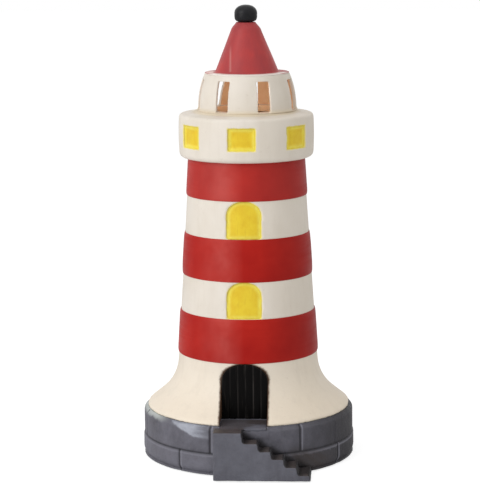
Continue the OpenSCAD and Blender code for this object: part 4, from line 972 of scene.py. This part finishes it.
# %% [markdown]
# ## The stairs
# The landing and six risers run down to the right. Painted brown shade, with dirt, lies on the treads, the
# landing and by the door, and painted dark shade on the risers' sides, behind each riser and on the last
# steps. The edges are worn round, so the copy gets more rounds of smoothing than the base that it stands
# against.

# %% Stairs
LANDING_RIGHT = RISERS[0]
stairs = cast_copy("stairs", "stairs_casting", 0.55, 5)
skin(stairs, stair_paint, 0.24, 6, 101, inset_mm=0.2)
spots, x, y, z, *_ = read(stairs)
faces_to = normals_of(stairs)
level = step_up(faces_to[:, 2], 0.35, 0.75)
on_top = level * (z > DECK - 3)
landing = on_top * step_up(x - 6 * step_up(y, -70, -64), LANDING_RIGHT + 4, LANDING_RIGHT - 1)
last = step_up(x, 30, 44) * step_up(y, -80.5, -79)
treads = level * (z < DECK - 4)
past_riser = np.min([np.where(x > riser_x - 1, x - riser_x, 99) for riser_x in RISERS], 0)
corner = step_up(past_riser, 6.5, 1.5)
risers = step_up(faces_to[:, 0], 0.3, 0.7) * (x > LANDING_RIGHT - 1)
by_door = on_top * step_up(y, -65, -58) * (0.55 + 0.4 * step_up(x, -2, 4))
landing = landing * (0.95 - 0.25 * step_up(y, -78, -70))
# Painted brown shade with dirt on the treads, by the door and on the landing.
store(stairs, "brown_wash", np.max([treads, by_door, landing], 0))
# Painted dark shade on the risers' sides, behind each riser and on the last steps.
store(stairs, "dark_wash", np.max([risers, treads * corner, last * 0.8], 0))
smooth_top = (z > DECK - 4) * step_up(x, LANDING_RIGHT + 1, LANDING_RIGHT + 3)
y -= 0.4 * smooth_top * step_up(-faces_to[:, 1], 0.1, 0.5)
z -= 0.6 * smooth_top * step_up(-faces_to[:, 2], 0.05, 0.4)
x += 0.5 * (z > DECK - 4) * (y > -74) * np.clip(faces_to[:, 0] * 2, -1, 1)
move_points(stairs, spots)
for mark in ("hollow", "worn_edge"):
    store(stairs, mark, mark_of(stairs, mark) * (1 - smooth_top))
hand_over(stairs, "base", "stairs_grey", "stairs")

# %% [markdown]
# ## Screws with a drive
# A plain cylinder says nothing about how a lamp is opened. Each screw head gets its recess: a cross for
# the plate, the bridge and the block, a slot for the terminals. One screw of each kind is turned and cut,
# and the copies tree sets it on every place where that screw sits.


# %% Screw helper
def recessed_screw(name, outline_mm, cutters_mm, material):
    """A turned screw with box-shaped cuts, each cut given by its two corners."""
    screw = turned(name, outline_mm, material, sides=32, step=3.0)
    for low, high in cutters_mm:
        box = new_piece("cut", [[x, y, z] for x in (low[0] * MM, high[0] * MM)
                                for y in (low[1] * MM, high[1] * MM) for z in (low[2] * MM, high[2] * MM)],
                        faces=[(0, 1, 3, 2), (4, 6, 7, 5), (0, 4, 5, 1), (2, 3, 7, 6), (0, 2, 6, 4),
                               (1, 5, 7, 3)])
        cut = screw.modifiers.new("cut", "BOOLEAN")
        cut.object, cut.solver = box, "EXACT"
        make_plain(screw)
        bpy.data.objects.remove(box)
    return screw


CROSS_REACH, CROSS_HALF, SHANK_R, HEAD_R, HEAD_H = 1.6, 0.35, 1.5, 2.9, 1.4


def cross(z_low, z_high):
    arms = ((CROSS_REACH, CROSS_HALF), (CROSS_HALF, CROSS_REACH))
    return [((-a, -b, z_low), (a, b, z_high)) for a, b in arms]


def pan_head(foot, seat):
    return [(0, foot), (SHANK_R - 0.4, foot), (SHANK_R, foot + 0.6), (SHANK_R, seat), (HEAD_R, seat),
            (HEAD_R, seat + HEAD_H * 0.5), (HEAD_R - 0.4, seat + HEAD_H * 0.85),
            (HEAD_R - 1.2, seat + HEAD_H), (0, seat + HEAD_H)]


# %% All screws
sunk_line = [(0, 1.5), (2.8, 1.5), (2.9, 1.6), (1.5, 2.9), (1.5, 12.9), (1.1, 13.5), (0, 13.5)]
clamp_line = [(0, 9.2), (1.4, 9.2), (1.4, 14.8), (1.2, 15), (0, 15)]
clamp_cut = [((-2, -0.25, 14.3), (2, 0.25, 16))]
clamp_places = [(x, y, 0) for x in (-4.6, 4.6) for y in (33.25, 39.75)]
for name, node, finish, line_mm, cuts, places, outwards in (
        ("plate_screws", "base_screws", "zinc_steel", sunk_line, cross(1.0, 2.4),
         around(63, (45, 135, 225, 315), 0), 1.0),
        ("bridge_screws_set", "bridge_screws", "zinc_steel", pan_head(2.2, 9.5), cross(10.1, 11.5),
         [(-27, 0, 0), (27, 0, 0)], 0.0),
        ("block_screw_set", "block_screw", "zinc_steel", pan_head(2.2, 12.0), cross(12.6, 14.0),
         [(0, 36.5, 0)], 0.0),
        ("terminal_screws_set", "terminal_screws", "brass_parts", clamp_line, clamp_cut, clamp_places, 0.0)):
    one = recessed_screw(name + "_one", line_mm, cuts, FINISHES[finish])
    screws = copies_on(name, one, places, FINISHES[finish], outwards)
    screws.data.set_sharp_from_angle(angle=radians(35))
    hand_over(screws, "base", finish, node)

# %% [markdown]
# ## The bulb
# A clear candle bulb with a rolled screw cap. The cap's thread is a helix, so its tree moves each point
# of a plain turned sleeve outwards by where it stands along the pitch. The glass is one turned line
# with its wall, and the four light strips are one strip repeated round the stem.


# %% Rolled thread tree
graph, given = start_tree("Rolled thread", ("Pitch", "Float"), ("Depth", "Float"), ("Low", "Float"),
                          ("High", "Float"))
spot_x, spot_y, spot_z = graph.parts(graph.position())
turn_share = graph.maths("DIVIDE", graph.maths("ARCTAN2", spot_y, spot_x), 2 * pi)
phase = graph.minus(graph.maths("DIVIDE", spot_z, given["Pitch"]), turn_share)
wave = graph.maths("MULTIPLY_ADD", graph.maths("COSINE", graph.times(phase, 2 * pi)), 0.5, 0.5)
RUN_OUT = 700
for limit, beyond in ((given["Low"], 1.0), (given["High"], -1.0)):
    inside_run = graph.times(graph.minus(spot_z, limit), beyond * RUN_OUT)
    wave = graph.times(wave, graph.clamp(inside_run))
away = graph.out("ShaderNodeVectorMath", {0: graph.joined(spot_x, spot_y)}, operation="NORMALIZE")
ridge = graph.scaled(away, graph.times(wave, given["Depth"]))
threaded = graph.out("GeometryNodeSetPosition", {0: given["Geometry"], "Offset": ridge})
thread_tree = end_tree(graph, threaded, given)

# %% Screw cap
CAP_LOW, CAP_HIGH, CAP_ROOT, CAP_SHEET, THREAD_DEPTH, PITCH = 45.3, 64.3, 6.5, 0.3, 0.43, 2.822
nickel = FINISHES["cap_metal"]
cap_line = [(CAP_ROOT - CAP_SHEET, CAP_LOW), (CAP_ROOT, CAP_LOW), (CAP_ROOT, CAP_HIGH),
            (CAP_ROOT - CAP_SHEET, CAP_HIGH)]
cap = turned("bulb_screw_cap", cap_line, nickel, sides=96, step=0.28)
grow(cap, thread_tree, pitch=PITCH * MM, depth=THREAD_DEPTH * MM, low=(CAP_LOW + 1.5) * MM,
     high=(CAP_HIGH - 2.5) * MM, material=nickel)
hand_over(cap, "bulb", "cap_metal", "bulb_cap")

# %% Glass and light strips
GLASS_LOW, GLASS_HIGH, GLASS_R, GLASS_NECK, GLASS_WALL, GLASS_TUCK = 64.3, 72, 17.5, 6.1, 0.8, 8
BELLY, FULLNESS, GLASS_STEPS = 0.4, 0.8, 48


def glass_radius(share):
    if share < BELLY:
        return GLASS_NECK + (GLASS_R - GLASS_NECK) * (1 - cos(pi * share / BELLY)) / 2
    return GLASS_R * max(0.0, cos(pi / 2 * (share - BELLY) / (1 - BELLY))) ** FULLNESS


shares = [i / GLASS_STEPS for i in range(GLASS_STEPS)]
thin_share = 1 - 2 * GLASS_WALL / GLASS_HIGH
glass_line = ([(0, GLASS_LOW + GLASS_HIGH)]
              + [(glass_radius(t), GLASS_LOW + t * GLASS_HIGH) for t in reversed(shares)]
              + [(GLASS_NECK, GLASS_LOW - GLASS_TUCK), (GLASS_NECK - GLASS_WALL, GLASS_LOW - GLASS_TUCK)]
              + [(glass_radius(t) - GLASS_WALL, GLASS_LOW + t * thin_share * GLASS_HIGH) for t in shares]
              + [(0, GLASS_LOW + GLASS_HIGH - GLASS_WALL)])
glass = turned("bulb_candle_glass", glass_line, FINISHES["bulb_clear"], sides=128)
hand_over(glass, "bulb", "bulb_clear", "bulb_glass")

STRIP_LOW, STRIP_HIGH, STRIP_R, STRIP_RING, WIRE_R, STEM_R = 78.3, 112.3, 0.8, 5.0, 0.4, 2.1
amber = FINISHES["strip_amber"]
strip_line = ([(0, STRIP_LOW)] + arc(STRIP_R - 0.3, STRIP_LOW + 0.3, 0.3, -90, 0, 3)
              + arc(STRIP_R - 0.3, STRIP_HIGH - 0.3, 0.3, 0, 90, 3) + [(0, STRIP_HIGH)])
strip = turned("one_strip", strip_line, amber, sides=16, step=4.0)
arm_line = [(0, STRIP_RING - STEM_R), (WIRE_R, STRIP_RING - STEM_R), (WIRE_R, 0), (0, 0)]
for arm_z in (STRIP_LOW + STRIP_R, STRIP_HIGH - STRIP_R):
    arm = turned("arm", arm_line, amber, sides=12, step=4.0)
    arm.data.transform(Matrix.Translation((0, 0, arm_z * MM)) @ Matrix.Rotation(-pi / 2, 4, "X"))
    edit(strip, lambda shell: shell.from_mesh(arm.data))
    bpy.data.objects.remove(arm)
strips = copies_on("light_strips", strip, around(STRIP_RING, (0, 90, 180, 270), 0), amber, 1.0)
hand_over(strips, "bulb", "strip_amber", "bulb_strips")

# %% [markdown]
# ## Leads
# Two short insulated leads run from the terminals, bend up and go through the hollow nipple. In the
# engineering model they are eight-sided. Here the same route carries a round tube, swept in steps along
# a smooth line.

# %% Round leads
LEAD_R, LEAD_Z, LEAD_BEND, LEAD_APART, TERMINAL_APART, BLOCK_NEAR = 1.1, 8.0, 6.0, 1.3, 4.6, 30
LEAD_START, LEAD_TOP, ALONG_STEPS, BEND_STEPS, RISE_STEPS, SWEEP = 34.65, 34.9, 24, 12, 8, 12


def lead_route(side):
    out = []
    for i in range(ALONG_STEPS + 1):
        y = LEAD_START + (LEAD_BEND - LEAD_START) * i / ALONG_STEPS
        near = min(1, max(0, (BLOCK_NEAR - y) / (BLOCK_NEAR - LEAD_BEND)))
        ease = (1 - cos(pi * near)) / 2
        out.append((side * (TERMINAL_APART + (LEAD_APART - TERMINAL_APART) * ease), y, LEAD_Z))
    for i in range(1, BEND_STEPS + 1):
        a = pi / 2 * i / BEND_STEPS
        out.append((side * LEAD_APART, LEAD_BEND * (1 - sin(a)), LEAD_Z + LEAD_BEND * (1 - cos(a))))
    rise_from = LEAD_Z + LEAD_BEND
    rise = (LEAD_TOP - rise_from) / RISE_STEPS
    return out + [(side * LEAD_APART, 0, rise_from + rise * i) for i in range(1, RISE_STEPS + 1)]


def tube(name, route_mm, radius_mm, material):
    path = [Vector(p) for p in route_mm]
    verts, faces = [], []
    for i, point in enumerate(path):
        ahead = (path[min(i + 1, len(path) - 1)] - path[max(i - 1, 0)]).normalized()
        side = (Vector((1, 0, 0)) - ahead * ahead.x).normalized()
        up = ahead.cross(side)
        for k in range(SWEEP):
            a = 2 * pi * k / SWEEP
            verts.append((point + (side * cos(a) + up * sin(a)) * radius_mm) * MM)
    for i in range(len(path) - 1):
        for k in range(SWEEP):
            a, b = i * SWEEP + k, i * SWEEP + (k + 1) % SWEEP
            faces.append((a, b, b + SWEEP, a + SWEEP))
    faces += [tuple(range(SWEEP)), tuple(range(len(verts) - SWEEP, len(verts)))]
    piece = outward(new_piece(name, verts, faces=faces))
    piece.data.shade_smooth()
    piece.data.set_sharp_from_angle(angle=radians(40))
    piece.data.materials.append(material)
    return piece


for name, side, slot_name in (("live_lead", 1, "lead_brown"), ("neutral_lead", -1, "lead_blue")):
    lead = tube(name + "_sleeve", lead_route(side), LEAD_R, FINISHES[slot_name])
    hand_over(lead, "base", slot_name, name)

# %% [markdown]
# ## Solids that are right as they are
# The stamped, moulded and turned parts inside and under the lamp already have their true shape. They
# keep it and only get their finish.

# %% Dress the other solids
SLOT_OF = {part["node"]: part["material_slot"] for part in frame["record"]["subparts"]}
kept = [n for n, obj in frame["nodes"].items() if not obj.hide_render]
for name in kept:
    finish = FINISHES[SLOT_OF[name]]
    data = frame["nodes"][name].data
    data.materials.clear()
    data.materials.append(finish)
print("kept solids:", ", ".join(sorted(kept)))

# %% [markdown]
# ## The studio
# A big soft box stands to the left of the camera, weaker ones to its right and overhead, and the room
# itself is pale. The world is plain white wherever the camera, a reflection or a clear piece looks at it,
# and weaker as a light, so the colours render about as they are written. The floor is white to the
# camera too, but part of its brightness is real light, so the lamp keeps its soft shadow. A very small
# lamp in the lantern room lights the bare clay there, as the bulb's own glow would.


# %% World and floor
world = bpy.data.worlds.new("pale_room")
scene.world = world
world.use_nodes = True
room = Graph(world.node_tree)


def seen_by(graph, *rays):
    """1 where the surface is met by one of these rays, and 0 otherwise."""
    ways = graph.add("ShaderNodeLightPath").outputs
    seen = ways[f"Is {rays[0]} Ray"]
    for ray in rays[1:]:
        seen = graph.maths("MAXIMUM", seen, ways[f"Is {ray} Ray"])
    return seen


ROOM_LIGHT = 0.55
strength = room.ranged(seen_by(room, "Camera", "Glossy", "Transmission"), low=ROOM_LIGHT)
background = room.tree.nodes["Background"]
background.inputs["Color"].default_value = (1, 1, 1, 1)
room.tree.links.new(strength, background.inputs["Strength"])

FLOOR_HALF, FLOOR_GREY, SHADOW_SHARE, FLOOR_GLOW = 6.0, 0.86, 0.50, 0.76
corners = [(x * FLOOR_HALF, y * FLOOR_HALF, 0) for x, y in ((-1, -1), (1, -1), (1, 1), (-1, 1))]
floor = new_piece("floor", corners, faces=[(0, 1, 2, 3)])
pale = Paint("pale_floor", {"Roughness": 0.9, "Base Color": (FLOOR_GREY,) * 3 + (1,)})
lit = pale.out("ShaderNodeBsdfDiffuse", {"Color": (SHADOW_SHARE,) * 3 + (1,)})
white = pale.out("ShaderNodeAddShader", {0: lit, 1: pale.out("ShaderNodeEmission", {"Strength": FLOOR_GLOW})})
seen = seen_by(pale, "Camera", "Transmission")
choice = pale.out("ShaderNodeMixShader", {0: seen, 1: pale.shader.outputs[0], 2: white})
pale.tree.links.new(choice, pale.tree.nodes["Material Output"].inputs["Surface"])
floor.data.materials.append(pale.material)
print("world and floor:", world.name, "and", floor.name)


# %% Lamps
AIM_AT = Vector((0, 0, 0.15))


def soft_box(name, turn, elevation, distance, width, height, watts):
    """An area lamp aimed at the tower's middle. The turn is from the camera's side, positive to its right."""
    lamp = bpy.data.lights.new(name, "AREA")
    lamp.shape, lamp.size, lamp.size_y, lamp.energy = "RECTANGLE", width, height, watts
    obj = new_object(name, lamp)
    a, e = radians(turn), radians(elevation)
    back = Vector((sin(a) * cos(e), -cos(a) * cos(e), sin(e)))
    obj.location = back * distance + AIM_AT
    obj.rotation_euler = (-back).to_track_quat("-Z", "Y").to_euler()


soft_box("key_box", -46, 24, 1.3, 0.7, 1.1, 7.6)
soft_box("fill_box", 62, 20, 1.6, 0.9, 1.1, 1.2)
soft_box("top_box", 0, 78, 1.4, 1.0, 1.0, 2.4)
GLOW_WATTS, GLOW_RADIUS, GLOW_HEIGHT = 0.010, 0.004, 0.250
glow = bpy.data.lights.new("lantern_glow", "POINT")
glow.energy, glow.shadow_soft_size, glow.color = GLOW_WATTS, GLOW_RADIUS, (1.0, 0.93, 0.84)
glow_object = new_object("lantern_glow", glow)
glow_object.location = (0, 0, GLOW_HEIGHT)
glow_object.visible_camera = False
scene.view_settings.view_transform = "Standard"
